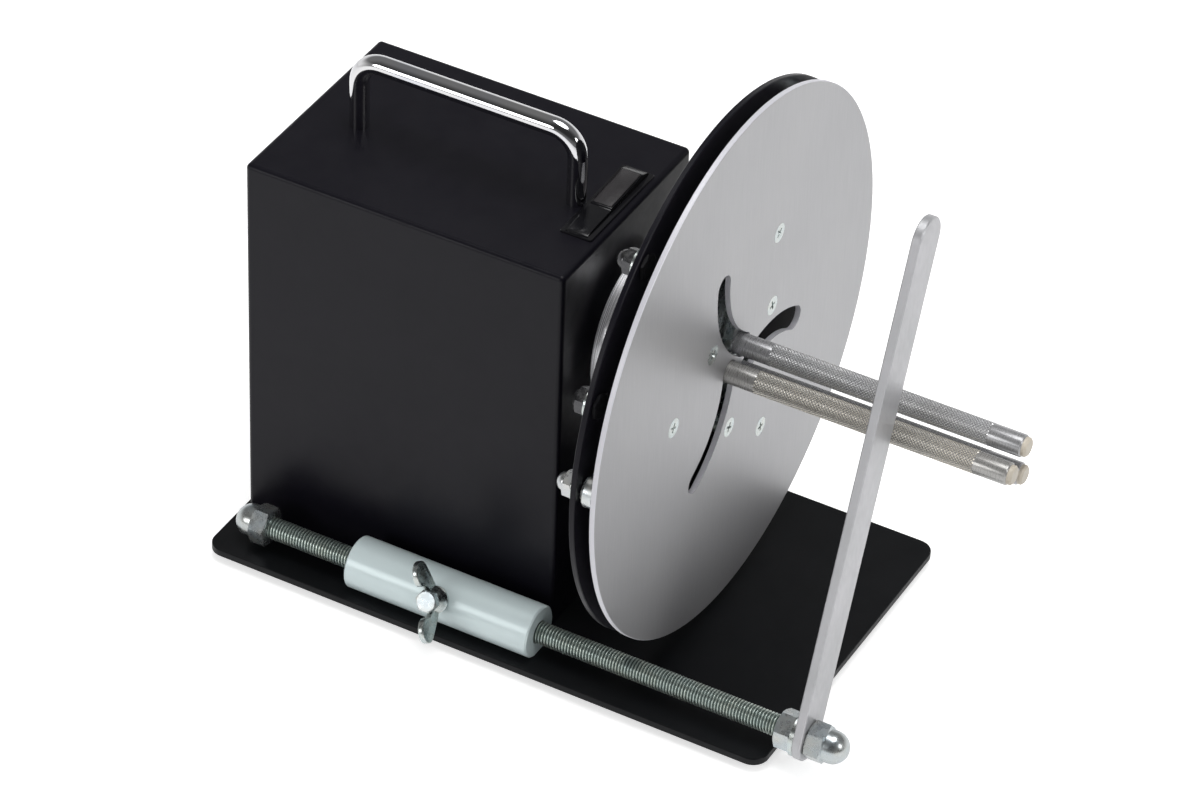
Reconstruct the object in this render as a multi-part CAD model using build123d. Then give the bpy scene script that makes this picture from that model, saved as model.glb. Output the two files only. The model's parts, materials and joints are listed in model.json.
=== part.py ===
from build123d import *
import os
from math import cos, radians, sin, sqrt

# Label rewinder with a collapsible three-finger chuck, in millimetres.
# +X runs along the spindle from the housing to the finger tips, +Y to the back, +Z up.
# The origin is the centre of the base plate's underside.

# ---- base plate and feet ----
BASE_LENGTH = 333.0
BASE_DEPTH = 202.0
BASE_THICKNESS = 4.0
BASE_CORNER_RADIUS = 9.0
BASE_EDGE_CHAMFER = 0.4
FOOT_RADIUS = 10.0
FOOT_HEIGHT = 5.0
FOOT_INSET = 20.0
FOOT_CHAMFER = 1.0

# ---- folded housing ----
HOUSING_LENGTH = 186.5
HOUSING_DEPTH = 133.0
HOUSING_ABOVE_SPINDLE = 69.1
HOUSING_WALL = 2.0
HOUSING_EDGE_RADIUS = 2.7
HOUSING_LEFT_MARGIN = 3.0
HOUSING_FRONT_MARGIN = 38.4
HOUSING_FLANGE = 14.0
REAR_OPENING_MARGIN = 20.0
REAR_PANEL_OVERLAP = 8.0
REAR_PANEL_THICKNESS = 1.5
REAR_PANEL_CORNER_RADIUS = 4.0
INLET_FROM_LEFT = 45.0
INLET_HEIGHT = 45.0
INLET_BODY_RADIUS = 5.5
INLET_COLLAR_RADIUS = 7.5
INLET_COLLAR_THICKNESS = 2.0
INLET_BODY_LENGTH = 14.0
INLET_SOCKET_RADIUS = 2.75
INLET_SOCKET_DEPTH = 9.5
INLET_PIN_RADIUS = 1.05
INLET_PIN_INSET = 1.0
INLET_NUT_WIDTH = 14.0
INLET_NUT_THICKNESS = 2.5

# ---- carry handle ----
HANDLE_ROD_RADIUS = 5.3
HANDLE_CENTRES = 128.0
HANDLE_RISE = 41.5
HANDLE_BEND_RADIUS = 14.0
HANDLE_FROM_LEFT = 31.5
HANDLE_FROM_FRONT = 60.5

# ---- rocker switch ----
SWITCH_LENGTH = 67.0
SWITCH_WIDTH = 15.0
SWITCH_FROM_WALL = 12.8
SWITCH_FROM_FRONT = 67.5
SWITCH_BEZEL_HEIGHT = 1.6
SWITCH_BEZEL_WALL = 1.7
SWITCH_BEZEL_CORNER_RADIUS = 1.5
SWITCH_BEZEL_CHAMFER = 0.5
SWITCH_BODY_DEPTH = 20.0
SWITCH_CAVITY_DEPTH = 8.0
SWITCH_BODY_MARGIN = 1.0
ROCKER_SIDE_GAP = 0.3
ROCKER_TILT = 5.0
ROCKER_PIVOT_HEIGHT = 0.8
ROCKER_REAR_THICKNESS = 5.2
ROCKER_FRONT_THICKNESS = 2.6
ROCKER_BELLY_DEPTH = 2.6
ROCKER_END_DEPTH = 1.2
ROCKER_END_DROP = 1.4
ROCKER_END_LENGTH = 2.0
ROCKER_STEP_LENGTH = 1.5
ROCKER_PAD_FALL = 0.4
ROCKER_PIN_RADIUS = 1.25
ROCKER_PIN_REACH = 0.9

# ---- spindle drive inside the housing ----
SPINDLE_HEIGHT = 156.9
SHAFT_RADIUS = 7.5
BRACKET_THICKNESS = 4.0
BRACKET_GAP = 0.5
BRACKET_WIDTH = 100.0
BRACKET_ABOVE_SPINDLE = 41.1
BRACKET_FOOT_LENGTH = 45.0
BRACKET_SCREW_SPACING = 70.0
BRACKET_BEND_RADIUS = 4.0
BEARING_RADIUS = 17.5
BEARING_WIDTH = 11.0
BEARING_SPACING = 10.0
BEARING_GROOVE_DEPTH = 1.0
BLOCK_BOSS_RADIUS = 21.0
BLOCK_BOSS_REACH = 3.0
BEARING_FLANGE_RADIUS = 31.0
BEARING_FLANGE_THICKNESS = 6.0
BEARING_SCREW_CIRCLE_RADIUS = 26.0
GEARBOX_SIZE = 78.0
GEARBOX_THICKNESS = 45.0
GEARBOX_EDGE_RADIUS = 6.0
GEARBOX_STAND_OFF = 28.5
GEARBOX_COLUMN_RADIUS = 7.0
GEARBOX_COLUMN_SPACING = 62.0
SHAFT_IN_GEARBOX = 36.0
MOTOR_RADIUS = 30.0
MOTOR_LENGTH = 78.0
MOTOR_EDGE_RADIUS = 3.0

# ---- chuck: hub drum and the two discs ----
DISC_RADIUS = 150.0
FRONT_DISC_THICKNESS = 3.0
REAR_DISC_STEP = 0.5
REAR_DISC_THICKNESS = 3.0
REAR_DISC_STAND_OFF = 51.8
DISC_GAP = 8.7
DISC_EDGE_CHAMFER = 0.4
DRUM_RADIUS = 45.0
DRUM_EDGE_CHAMFER = 0.6
DRUM_WALL_GAP = 5.0
DRUM_SPIGOT_RADIUS = 42.0
DRUM_BACK_RIM = 6.0
DRUM_BACK_RECESS = 12.0
DRUM_HUB_RADIUS = 22.0
SHAFT_END_COVER = 7.0
RETAINER_RADIUS = 46.0
RETAINER_THICKNESS = 1.0
REAR_DISC_END_PLAY = 0.2
POST_RADIUS = 5.0
POST_CIRCLE_RADIUS = 38.2
POST_ANGLE = 20.5

# ---- chuck: finger levers ----
STUD_FROM_RIM = 11.2
PIVOT_ANGLE = 56.2
FINGER_CIRCLE_RADIUS = 9.8
LEVER_FULL_SWING = 59.5
LEVER_THICKNESS = 5.0
LEVER_SIDE_PLAY = 0.1
LEVER_INNER_RADIUS = 8.0
LEVER_PIVOT_RADIUS = 11.0
LEVER_OUTER_RADIUS = 8.8
BUSH_RADIUS = 5.0
BUSH_COLLAR_RADIUS = 8.0
BUSH_COLLAR_THICKNESS = 1.0
PIVOT_NUT_RADIUS = 7.5
PIVOT_NUT_THICKNESS = 1.5
FINGER_RADIUS = 6.0
FINGER_KNURL_RADIUS = 6.15
FINGER_REACH = 160.5
FINGER_PLAIN_BASE = 16.0
FINGER_PLAIN_TIP = 20.5
FINGER_SPIGOT_RADIUS = 4.0
FINGER_SLOT_WIDTH = 13.3
FINGER_TIP_RADIUS = 5.2
FINGER_TIP_THICKNESS = 2.6
FINGER_TIP_CHAMFER = 1.0
FINGER_END_CHAMFER = 0.6
FINGER_TIP_STEM_RADIUS = 3.0
FINGER_TIP_STEM_LENGTH = 8.0
STUD_RADIUS = 4.0
STUD_COLLAR_WIDTH = 13.0
STUD_COLLAR_GAP = 0.3
STUD_SLOT_CLEARANCE = 0.2
WASHER_RADIUS = 8.0
WASHER_THICKNESS = 1.6
WASHER_GAP = 0.2
SMALL_NUT_WIDTH = 13.0
SMALL_NUT_THICKNESS = 5.5
SMALL_DOME_RADIUS = 5.2
RIM_BOLT_FROM_RIM = 10.0
RIM_HEX_BOLT_ANGLE = 157.0
RIM_DOME_BOLT_ANGLE = 127.5
RIM_HEAD_THICKNESS = 2.3
RIM_BOLT_END = 2.0

# ---- roll guide ----
GUIDE_AXIS_FROM_FRONT = 21.0
GUIDE_AXIS_HEIGHT = 12.8
ROD_RADIUS = 6.0
BLOCK_LENGTH = 110.0
BLOCK_RADIUS = 14.4
BLOCK_PAST_WALL = 4.0
BLOCK_BORE_CLEARANCE = 0.5
BLOCK_END_CHAMFER = 0.8
BLOCK_SCREW_SPACING = 80.0
LEFT_CAP_FROM_WALL = 158.2
BAR_FROM_WALL = 157.6
BAR_THICKNESS = 5.0
BAR_WIDTH = 25.0
BAR_LENGTH = 296.0
BAR_LEAN = 69.4
BAR_EDGE_CHAMFER = 0.6
ROD_IN_CAP = 15.0
LARGE_NUT_WIDTH = 19.0
LARGE_NUT_THICKNESS = 10.0
LARGE_CAP_HEX = 10.0
LARGE_DOME_RADIUS = 8.8
LARGE_CAP_LENGTH = 21.4
LARGE_WASHER_RADIUS = 12.0
LARGE_WASHER_THICKNESS = 2.4
WING_FROM_BLOCK_CENTRE = 0.6
WING_TILT = 30.0
WING_TURN = 23.5
WING_HUB_START = 15.2
WING_HUB_LENGTH = 8.0
WING_HUB_BASE_RADIUS = 7.4
WING_HUB_TOP_RADIUS = 5.6
WING_HUB_FOOT_HEIGHT = 1.5
WING_ROOT_INSET = 0.5
WING_SPAN_RADIUS = 21.5
WING_LOBE_RADIUS = 6.8
WING_LOBE_RISE = 15.0
WING_THICKNESS = 3.2
CLAMP_BOLT_RADIUS = 3.0
CLAMP_HEAD_WIDTH = 11.0
CLAMP_HEAD_THICKNESS = 4.2
CLAMP_TIP_GAP = 0.3

# ---- screws and shared fits ----
SMALL_SCREW_RADIUS = 1.5
COVER_SCREW_RADIUS = 2.0
FRAME_SCREW_RADIUS = 2.5
DISC_SCREW_RADIUS = 3.0
HEAD_TO_SHANK = 1.82
HEAD_CLEARANCE = 0.1
SHANK_CLEARANCE = 0.2
RUNNING_CLEARANCE = 0.05
BORE_CLEARANCE = 1.0
SOCKET_HEAD_THICKNESS = 3.0
COVER_SCREW_LENGTH = 8.0
BRACKET_SCREW_LENGTH = 10.0
BLOCK_SCREW_LENGTH = 9.0
DISC_SCREW_LENGTH = 20.0
PANEL_SCREW_LENGTH = 6.0
HANDLE_SCREW_DEPTH = 10.0
PLATE_SCREW_GRIP = 10.0
HEX_CHAMFER_SHARE = 0.93
HEX_CHAMFER_SLOPE = 0.5
PAN_HEAD_TAPER = 0.75
CUT_PAST = 1.0

# ---- places worked out from the sizes above ----
base_top = BASE_THICKNESS
house_left = -BASE_LENGTH / 2 + HOUSING_LEFT_MARGIN
wall_x = house_left + HOUSING_LENGTH
house_front = -BASE_DEPTH / 2 + HOUSING_FRONT_MARGIN
house_back = house_front + HOUSING_DEPTH
housing_height = SPINDLE_HEIGHT + HOUSING_ABOVE_SPINDLE
house_top = base_top + housing_height
house_mid_x = (house_left + wall_x) / 2
spindle_y = (house_front + house_back) / 2
spindle_z = base_top + SPINDLE_HEIGHT

bracket_face_x = wall_x - HOUSING_WALL - BRACKET_GAP
bracket_back_x = bracket_face_x - BRACKET_THICKNESS
block_length_x = 2 * BEARING_WIDTH + BEARING_SPACING
block_out_x = wall_x + BLOCK_BOSS_REACH
block_in_x = block_out_x - block_length_x
gearbox_x = bracket_back_x - GEARBOX_STAND_OFF
motor_x = gearbox_x - GEARBOX_THICKNESS

drum_back_x = wall_x + DRUM_WALL_GAP
rear_back_x = wall_x + REAR_DISC_STAND_OFF
rear_front_x = rear_back_x + REAR_DISC_THICKNESS
front_back_x = rear_front_x + DISC_GAP
front_face_x = front_back_x + FRONT_DISC_THICKNESS
spigot_end_x = rear_front_x + REAR_DISC_END_PLAY
retainer_x = spigot_end_x + RETAINER_THICKNESS
lever_front_x = front_back_x - BUSH_COLLAR_THICKNESS - LEVER_SIDE_PLAY
lever_back_x = lever_front_x - LEVER_THICKNESS
bush_end_x = lever_back_x - LEVER_SIDE_PLAY
pivot_nut_x = bush_end_x - PIVOT_NUT_THICKNESS
rear_disc_radius = DISC_RADIUS - REAR_DISC_STEP
rim_bolt_circle = DISC_RADIUS - RIM_BOLT_FROM_RIM
stud_circle = DISC_RADIUS - STUD_FROM_RIM
pivot_circle = stud_circle / 2
finger_arm = pivot_circle - FINGER_CIRCLE_RADIUS
stud_circle_open = stud_circle * cos(radians(LEVER_FULL_SWING / 2))
washer_front_x = rear_back_x - WASHER_GAP
washer_back_x = washer_front_x - WASHER_THICKNESS

guide_y = house_front - GUIDE_AXIS_FROM_FRONT
guide_z = base_top + GUIDE_AXIS_HEIGHT
block_right_x = wall_x + BLOCK_PAST_WALL
block_left_x = block_right_x - BLOCK_LENGTH
block_mid_x = (block_left_x + block_right_x) / 2
left_cap_x = wall_x - LEFT_CAP_FROM_WALL
bar_back_x = wall_x + BAR_FROM_WALL
bar_front_x = bar_back_x + BAR_THICKNESS
wing_x = block_mid_x + WING_FROM_BLOCK_CENTRE

FINGER_TURNS = {"a": 0, "b": 120, "c": 240}


# ---- small helpers ----
def across(x, y=0.0, z=0.0):
    """Plane square to X, whose own x runs along +Y and own y along +Z."""
    return Plane(origin=(x, y, z), x_dir=(0, 1, 0), z_dir=(1, 0, 0))


def on_spindle(x):
    """Plane square to the spindle, centred on it."""
    return across(x, spindle_y, spindle_z)


def on_guide(x):
    """Plane square to the guide rod, centred on it."""
    return across(x, guide_y, guide_z)


def polar(radius, angle):
    """Point at a radius and an angle in degrees."""
    return (radius * cos(radians(angle)), radius * sin(radians(angle)))


def disc_between(x_from, x_to, radius, plane):
    """Cylinder along X between two places, on the axis that plane(x) gives."""
    return extrude(plane(x_from) * Circle(radius), amount=x_to - x_from)


def turned(points, plane):
    """Solid turned about X from (x, radius) points, on the axis that plane(x) gives."""
    origin = plane(0).origin
    section = Plane(origin=origin, x_dir=(1, 0, 0), z_dir=(0, -1, 0))
    axis = Axis((origin.X, origin.Y, origin.Z), (1, 0, 0))
    return revolve(section * Polygon(*points, align=None), axis=axis)


def countersunk_screw(radius, length, growth=0.0):
    """Countersunk screw with its head's flat at z = 0, pointing along +Z. Growth makes its hole."""
    head = radius * HEAD_TO_SHANK + growth
    shank = radius + (SHANK_CLEARANCE if growth else 0.0)
    points = [(0, 0), (head, 0), (shank, head - shank), (shank, length), (0, length)]
    return revolve(Plane.XZ * Polygon(*points, align=None), axis=Axis.Z)


def pan_screw(radius, head_thickness, length):
    """Round-headed screw with its seat at z = 0, pointing along +Z."""
    head = radius * HEAD_TO_SHANK
    points = [(0, -head_thickness), (head * PAN_HEAD_TAPER, -head_thickness), (head, -head_thickness / 2)]
    points += [(head, 0), (radius, 0), (radius, length), (0, length)]
    return revolve(Plane.XZ * Polygon(*points, align=None), axis=Axis.Z)


def hexagon(width, thickness):
    """Hexagonal prism along +Z from z = 0, its corners taken off at both ends."""
    prism = extrude(RegularPolygon(width / 2, 6, major_radius=False), amount=thickness)
    corner = width / sqrt(3)
    flat = width / 2 * HEX_CHAMFER_SHARE
    drop = (corner - flat) * HEX_CHAMFER_SLOPE
    points = [(0, 0), (flat, 0), (corner, drop), (corner, thickness - drop)]
    points += [(flat, thickness), (0, thickness)]
    return prism & revolve(Plane.XZ * Polygon(*points, align=None), axis=Axis.Z)


def cap_nut(width, hex_thickness, dome_radius, length):
    """Domed nut along +Z with its seat at z = 0, solid inside but for the bolt's bore."""
    neck = length - dome_radius
    dome = Pos(0, 0, neck) * Sphere(dome_radius)
    body = hexagon(width, hex_thickness)
    body += extrude(Circle(dome_radius), amount=neck)
    return body + (dome & Pos(0, 0, length) * Box(2 * length, 2 * length, 2 * length))


def toward(point, direction):
    """Plane at a point whose own +Z looks along a direction."""
    return Plane(origin=point, z_dir=direction)


def at_spindle(x, radius, angle):
    """Point at a place along the spindle, a radius and an angle about it."""
    y, z = polar(radius, angle)
    return (x, spindle_y + y, spindle_z + z)


def corners(x_mid, y_mid, x_spacing, y_spacing):
    """Four corners of a rectangle."""
    return [(x_mid + sx * x_spacing / 2, y_mid + sy * y_spacing / 2) for sx in (-1, 1) for sy in (-1, 1)]


def group(solids):
    """One node that holds separate solids."""
    return Compound(children=list(solids))


# ---- base plate and feet ----
foot_places = corners(0, 0, BASE_LENGTH - 2 * FOOT_INSET, BASE_DEPTH - 2 * FOOT_INSET)
flange_mid = HOUSING_WALL + HOUSING_FLANGE / 2
cover_screw_places = [
    (x, y)
    for x in (house_left + 2 * flange_mid, house_mid_x)
    for y in (house_front + flange_mid, house_back - flange_mid)
]
bracket_screw_places = corners(
    bracket_back_x - BRACKET_FOOT_LENGTH / 2, spindle_y, BRACKET_FOOT_LENGTH / 2, BRACKET_SCREW_SPACING
)
block_screw_places = [(block_mid_x + side * BLOCK_SCREW_SPACING / 2, guide_y) for side in (-1, 1)]


def make_base_plate():
    """Sheet-steel plate with rounded corners, countersunk from below for its screws."""
    plate = extrude(RectangleRounded(BASE_LENGTH, BASE_DEPTH, BASE_CORNER_RADIUS), amount=BASE_THICKNESS)
    holes = [(place, COVER_SCREW_RADIUS) for place in cover_screw_places]
    holes += [(place, FRAME_SCREW_RADIUS) for place in bracket_screw_places + block_screw_places]
    for (x, y), radius in holes:
        plate -= Pos(x, y, 0) * countersunk_screw(radius, BASE_THICKNESS, HEAD_CLEARANCE)
    return chamfer(plate.faces().sort_by(Axis.Z)[-1].outer_wire().edges(), BASE_EDGE_CHAMFER)


def plate_screw_group(places, radius, length):
    """Like countersunk screws up through the plate from below."""
    return group(Pos(x, y, 0) * countersunk_screw(radius, length) for x, y in places)


def make_foot():
    """Low rubber foot under the plate, narrower at the bottom."""
    points = [(0, 0), (FOOT_RADIUS, 0), (FOOT_RADIUS, FOOT_CHAMFER - FOOT_HEIGHT)]
    points += [(FOOT_RADIUS - FOOT_CHAMFER, -FOOT_HEIGHT), (0, -FOOT_HEIGHT)]
    return revolve(Plane.XZ * Polygon(*points, align=None), axis=Axis.Z)


# ---- housing ----
handle_x = [house_left + HANDLE_FROM_LEFT, house_left + HANDLE_FROM_LEFT + HANDLE_CENTRES]
handle_y = house_front + HANDLE_FROM_FRONT
switch_x = wall_x - SWITCH_FROM_WALL
switch_y = house_front + SWITCH_FROM_FRONT
opening_length = HOUSING_LENGTH - 2 * REAR_OPENING_MARGIN
opening_height = housing_height - 2 * REAR_OPENING_MARGIN
opening_mid_z = base_top + housing_height / 2
panel_length = opening_length + 2 * REAR_PANEL_OVERLAP
panel_height = opening_height + 2 * REAR_PANEL_OVERLAP
panel_screw_places = corners(
    house_mid_x, opening_mid_z, opening_length + REAR_PANEL_OVERLAP, opening_height + REAR_PANEL_OVERLAP
)
inlet_x = house_left + INLET_FROM_LEFT
inlet_z = base_top + INLET_HEIGHT
panel_back_y = house_back + REAR_PANEL_THICKNESS
switch_body_length = SWITCH_LENGTH - 2 * SWITCH_BODY_MARGIN
switch_body_width = SWITCH_WIDTH - 2 * SWITCH_BODY_MARGIN


def make_housing_cover():
    """Box folded from sheet, with rounded edges, a screw flange at the foot and an opening at the back."""
    middle = (house_mid_x, spindle_y)
    outside = Pos(*middle, base_top) * extrude(
        RectangleRounded(HOUSING_LENGTH, HOUSING_DEPTH, HOUSING_EDGE_RADIUS), amount=housing_height
    )
    outside = fillet(outside.faces().sort_by(Axis.Z)[-1].edges(), HOUSING_EDGE_RADIUS)
    inner_length = HOUSING_LENGTH - 2 * HOUSING_WALL
    inner_depth = HOUSING_DEPTH - 2 * HOUSING_WALL
    inner_radius = HOUSING_EDGE_RADIUS - HOUSING_WALL
    inner_height = housing_height - 2 * HOUSING_WALL
    cavity = Pos(*middle, base_top + HOUSING_WALL) * extrude(
        RectangleRounded(inner_length, inner_depth, inner_radius), amount=inner_height
    )
    mouth_length = inner_length - HOUSING_FLANGE
    mouth_depth = inner_depth - 2 * HOUSING_FLANGE
    mouth_x = house_mid_x + HOUSING_FLANGE / 2
    mouth = Box(mouth_length, mouth_depth, 3 * HOUSING_WALL)
    mouth = Pos(mouth_x, spindle_y, base_top + HOUSING_WALL) * mouth
    cover = outside - cavity - mouth
    back = Plane(origin=(house_mid_x, house_back, opening_mid_z), x_dir=(1, 0, 0), z_dir=(0, 1, 0))
    cover -= back * Box(opening_length, opening_height, 3 * HOUSING_WALL)
    boss_hole = BLOCK_BOSS_RADIUS + BORE_CLEARANCE
    cover -= disc_between(wall_x - 2 * HOUSING_WALL, wall_x + HOUSING_WALL, boss_hole, on_spindle)
    switch_hole = Box(switch_body_width, switch_body_length, 3 * HOUSING_WALL)
    cover -= Pos(switch_x, switch_y, house_top) * switch_hole
    leg_hole = Cylinder(FRAME_SCREW_RADIUS + SHANK_CLEARANCE, 3 * HOUSING_WALL)
    for x in handle_x:
        cover -= Pos(x, handle_y, house_top) * leg_hole
    for x, y in cover_screw_places:
        cover -= Pos(x, y, base_top) * Cylinder(COVER_SCREW_RADIUS, 3 * HOUSING_WALL)
    for x, z in panel_screw_places:
        cover -= toward((x, house_back, z), (0, 1, 0)) * Cylinder(SMALL_SCREW_RADIUS, 3 * HOUSING_WALL)
    return cover


def make_rear_panel():
    """Flat panel over the back opening, bored for its screws and the power inlet."""
    back = Plane(origin=(house_mid_x, house_back, opening_mid_z), x_dir=(-1, 0, 0), z_dir=(0, 1, 0))
    outline = back * RectangleRounded(panel_length, panel_height, REAR_PANEL_CORNER_RADIUS)
    panel = extrude(outline, amount=REAR_PANEL_THICKNESS)
    for x, z in panel_screw_places:
        hole = SMALL_SCREW_RADIUS + SHANK_CLEARANCE
        panel -= toward((x, house_back, z), (0, 1, 0)) * Cylinder(hole, 4 * REAR_PANEL_THICKNESS)
    hole = Cylinder(INLET_BODY_RADIUS + HEAD_CLEARANCE, 4 * REAR_PANEL_THICKNESS)
    return panel - toward((inlet_x, house_back, inlet_z), (0, 1, 0)) * hole


def make_panel_screws():
    """Four round-headed screws in the panel's corners."""
    screw = pan_screw(SMALL_SCREW_RADIUS, SMALL_SCREW_RADIUS, PANEL_SCREW_LENGTH)
    return [toward((x, panel_back_y, z), (0, -1, 0)) * screw for x, z in panel_screw_places]


def make_power_inlet():
    """Round low-voltage socket with a centre pin, held in the panel by a nut inside."""
    place = toward((inlet_x, panel_back_y, inlet_z), (0, 1, 0))
    body = Pos(0, 0, INLET_COLLAR_THICKNESS / 2) * Cylinder(INLET_COLLAR_RADIUS, INLET_COLLAR_THICKNESS)
    body += Pos(0, 0, -INLET_BODY_LENGTH / 2) * Cylinder(INLET_BODY_RADIUS, INLET_BODY_LENGTH)
    nut = extrude(RegularPolygon(INLET_NUT_WIDTH / 2, 6, major_radius=False), amount=-INLET_NUT_THICKNESS)
    body += Pos(0, 0, -REAR_PANEL_THICKNESS - HOUSING_WALL) * nut
    socket_middle = INLET_COLLAR_THICKNESS - INLET_SOCKET_DEPTH / 2
    body -= Pos(0, 0, socket_middle) * Cylinder(INLET_SOCKET_RADIUS, INLET_SOCKET_DEPTH)
    body += Pos(0, 0, socket_middle - INLET_PIN_INSET) * Cylinder(INLET_PIN_RADIUS, INLET_SOCKET_DEPTH)
    return place * body


# ---- carry handle ----
def make_carry_handle():
    """Round bar bent to a bow, tapped from below in both legs."""
    bar_z = house_top + HANDLE_RISE
    left, right = handle_x
    path = FilletPolyline(
        (left, handle_y, house_top),
        (left, handle_y, bar_z),
        (right, handle_y, bar_z),
        (right, handle_y, house_top),
        radius=HANDLE_BEND_RADIUS,
    )
    handle = sweep(Pos(left, handle_y, house_top) * Circle(HANDLE_ROD_RADIUS), path=path)
    for x in handle_x:
        depth = HANDLE_SCREW_DEPTH
        handle -= Pos(x, handle_y, house_top + depth / 2) * Cylinder(FRAME_SCREW_RADIUS, depth)
    return handle


def make_handle_screw(x):
    """Screw through the housing's top into a leg of the handle."""
    length = HANDLE_SCREW_DEPTH + HOUSING_WALL
    return Pos(x, handle_y, house_top - HOUSING_WALL) * pan_screw(
        FRAME_SCREW_RADIUS, SOCKET_HEAD_THICKNESS, length
    )


# ---- rocker switch ----
cavity_length = SWITCH_LENGTH - 2 * SWITCH_BEZEL_WALL
cavity_width = SWITCH_WIDTH - 2 * SWITCH_BEZEL_WALL
rocker_length = cavity_length - 2 * ROCKER_SIDE_GAP
rocker_width = cavity_width - 2 * ROCKER_SIDE_GAP
rocker_z = house_top + ROCKER_PIVOT_HEIGHT


def make_switch_frame():
    """Moulded frame of the rocker switch, let into the housing's top."""
    place = Pos(switch_x, switch_y, house_top)
    outline = RectangleRounded(SWITCH_WIDTH, SWITCH_LENGTH, SWITCH_BEZEL_CORNER_RADIUS)
    bezel = extrude(outline, amount=SWITCH_BEZEL_HEIGHT)
    bezel = chamfer(bezel.faces().sort_by(Axis.Z)[-1].edges(), SWITCH_BEZEL_CHAMFER)
    body = Pos(0, 0, -SWITCH_BODY_DEPTH / 2) * Box(switch_body_width, switch_body_length, SWITCH_BODY_DEPTH)
    frame = bezel + body
    cavity_height = SWITCH_CAVITY_DEPTH + 2 * SWITCH_BEZEL_HEIGHT
    cavity = Box(cavity_width, cavity_length, cavity_height)
    frame -= Pos(0, 0, cavity_height / 2 - SWITCH_CAVITY_DEPTH) * cavity
    pin_hole = ROCKER_PIN_RADIUS + RUNNING_CLEARANCE
    pin_length = rocker_width + 2 * (ROCKER_PIN_REACH + RUNNING_CLEARANCE)
    pivot = Plane(origin=(0, 0, ROCKER_PIVOT_HEIGHT), x_dir=(0, 1, 0), z_dir=(1, 0, 0))
    frame -= pivot * Cylinder(pin_hole, pin_length)
    return place * frame


def make_switch_rocker():
    """Long rocker with a high rear pad and a low front pad, on two side pins."""
    half = rocker_length / 2
    rear, front = ROCKER_REAR_THICKNESS, ROCKER_FRONT_THICKNESS
    outline = [(-half, -ROCKER_END_DEPTH), (0, -ROCKER_BELLY_DEPTH), (half, -ROCKER_END_DEPTH)]
    outline += [(half, rear - ROCKER_END_DROP), (half - ROCKER_END_LENGTH, rear)]
    outline += [(ROCKER_STEP_LENGTH, rear - ROCKER_PAD_FALL), (0, front + ROCKER_PAD_FALL)]
    outline += [(ROCKER_END_LENGTH - half, front - ROCKER_PAD_FALL), (-half, front - ROCKER_END_DROP)]
    side = Plane(origin=(-rocker_width / 2, 0, 0), x_dir=(0, 1, 0), z_dir=(1, 0, 0))
    rocker = extrude(side * Polygon(*outline, align=None), amount=rocker_width)
    pin_length = rocker_width + 2 * ROCKER_PIN_REACH
    rocker += Plane.YZ * Cylinder(ROCKER_PIN_RADIUS, pin_length)
    # The ends are trimmed to the arc that they swing in.
    swing = Plane.YZ * Cylinder(half, 2 * rocker_width)
    return Pos(switch_x, switch_y, rocker_z) * Rot(ROCKER_TILT, 0, 0) * (rocker & swing)


# ---- spindle drive ----
bearing_screw_places = [polar(BEARING_SCREW_CIRCLE_RADIUS, angle) for angle in (45, 135, 225, 315)]
gearbox_columns = corners(0, 0, GEARBOX_COLUMN_SPACING, GEARBOX_COLUMN_SPACING)


def plate_hole(start, thickness, u, v):
    """Cutter for a screw hole through a plate square to the spindle."""
    circle = on_spindle(start - CUT_PAST) * Pos(u, v) * Circle(FRAME_SCREW_RADIUS)
    return extrude(circle, amount=thickness + 2 * CUT_PAST)


def make_motor_bracket():
    """Folded steel angle: an upright that carries the bearing and the motor, on a screwed foot."""
    low = spindle_y - BRACKET_WIDTH / 2
    section = Plane(origin=(0, low, 0), x_dir=(1, 0, 0), z_dir=(0, -1, 0))
    foot_end = bracket_back_x - BRACKET_FOOT_LENGTH
    foot_top = base_top + BRACKET_THICKNESS
    top = spindle_z + BRACKET_ABOVE_SPINDLE
    points = [(foot_end, base_top), (bracket_face_x, base_top), (bracket_face_x, top)]
    points += [(bracket_back_x, top), (bracket_back_x, foot_top), (foot_end, foot_top)]
    bracket = extrude(section * Polygon(*points, align=None), amount=-BRACKET_WIDTH)
    outer_bend = bracket.edges().filter_by(Axis.Y).sort_by_distance((bracket_face_x, spindle_y, base_top))[0]
    bracket = fillet(outer_bend, BRACKET_BEND_RADIUS)
    hole = BLOCK_BOSS_RADIUS + HEAD_CLEARANCE
    bracket -= disc_between(bracket_back_x - CUT_PAST, bracket_face_x + CUT_PAST, hole, on_spindle)
    for u, v in bearing_screw_places + gearbox_columns:
        bracket -= plate_hole(bracket_back_x, BRACKET_THICKNESS, u, v)
    for x, y in bracket_screw_places:
        bracket -= Pos(x, y, base_top) * Cylinder(FRAME_SCREW_RADIUS, 4 * BRACKET_THICKNESS)
    return bracket


def make_bearing_block():
    """Turned flange block through the bracket and the wall, bored for two ball bearings."""
    flange_back = bracket_back_x - BEARING_FLANGE_THICKNESS
    block = disc_between(block_in_x, block_out_x, BLOCK_BOSS_RADIUS, on_spindle)
    block += disc_between(flange_back, bracket_back_x, BEARING_FLANGE_RADIUS, on_spindle)
    bore = SHAFT_RADIUS + BORE_CLEARANCE
    block -= disc_between(block_in_x - CUT_PAST, block_out_x + CUT_PAST, bore, on_spindle)
    for start in (block_in_x, block_out_x - BEARING_WIDTH):
        block -= disc_between(start, start + BEARING_WIDTH, BEARING_RADIUS, on_spindle)
    for u, v in bearing_screw_places:
        block -= plate_hole(flange_back, BEARING_FLANGE_THICKNESS, u, v)
    return block


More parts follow.
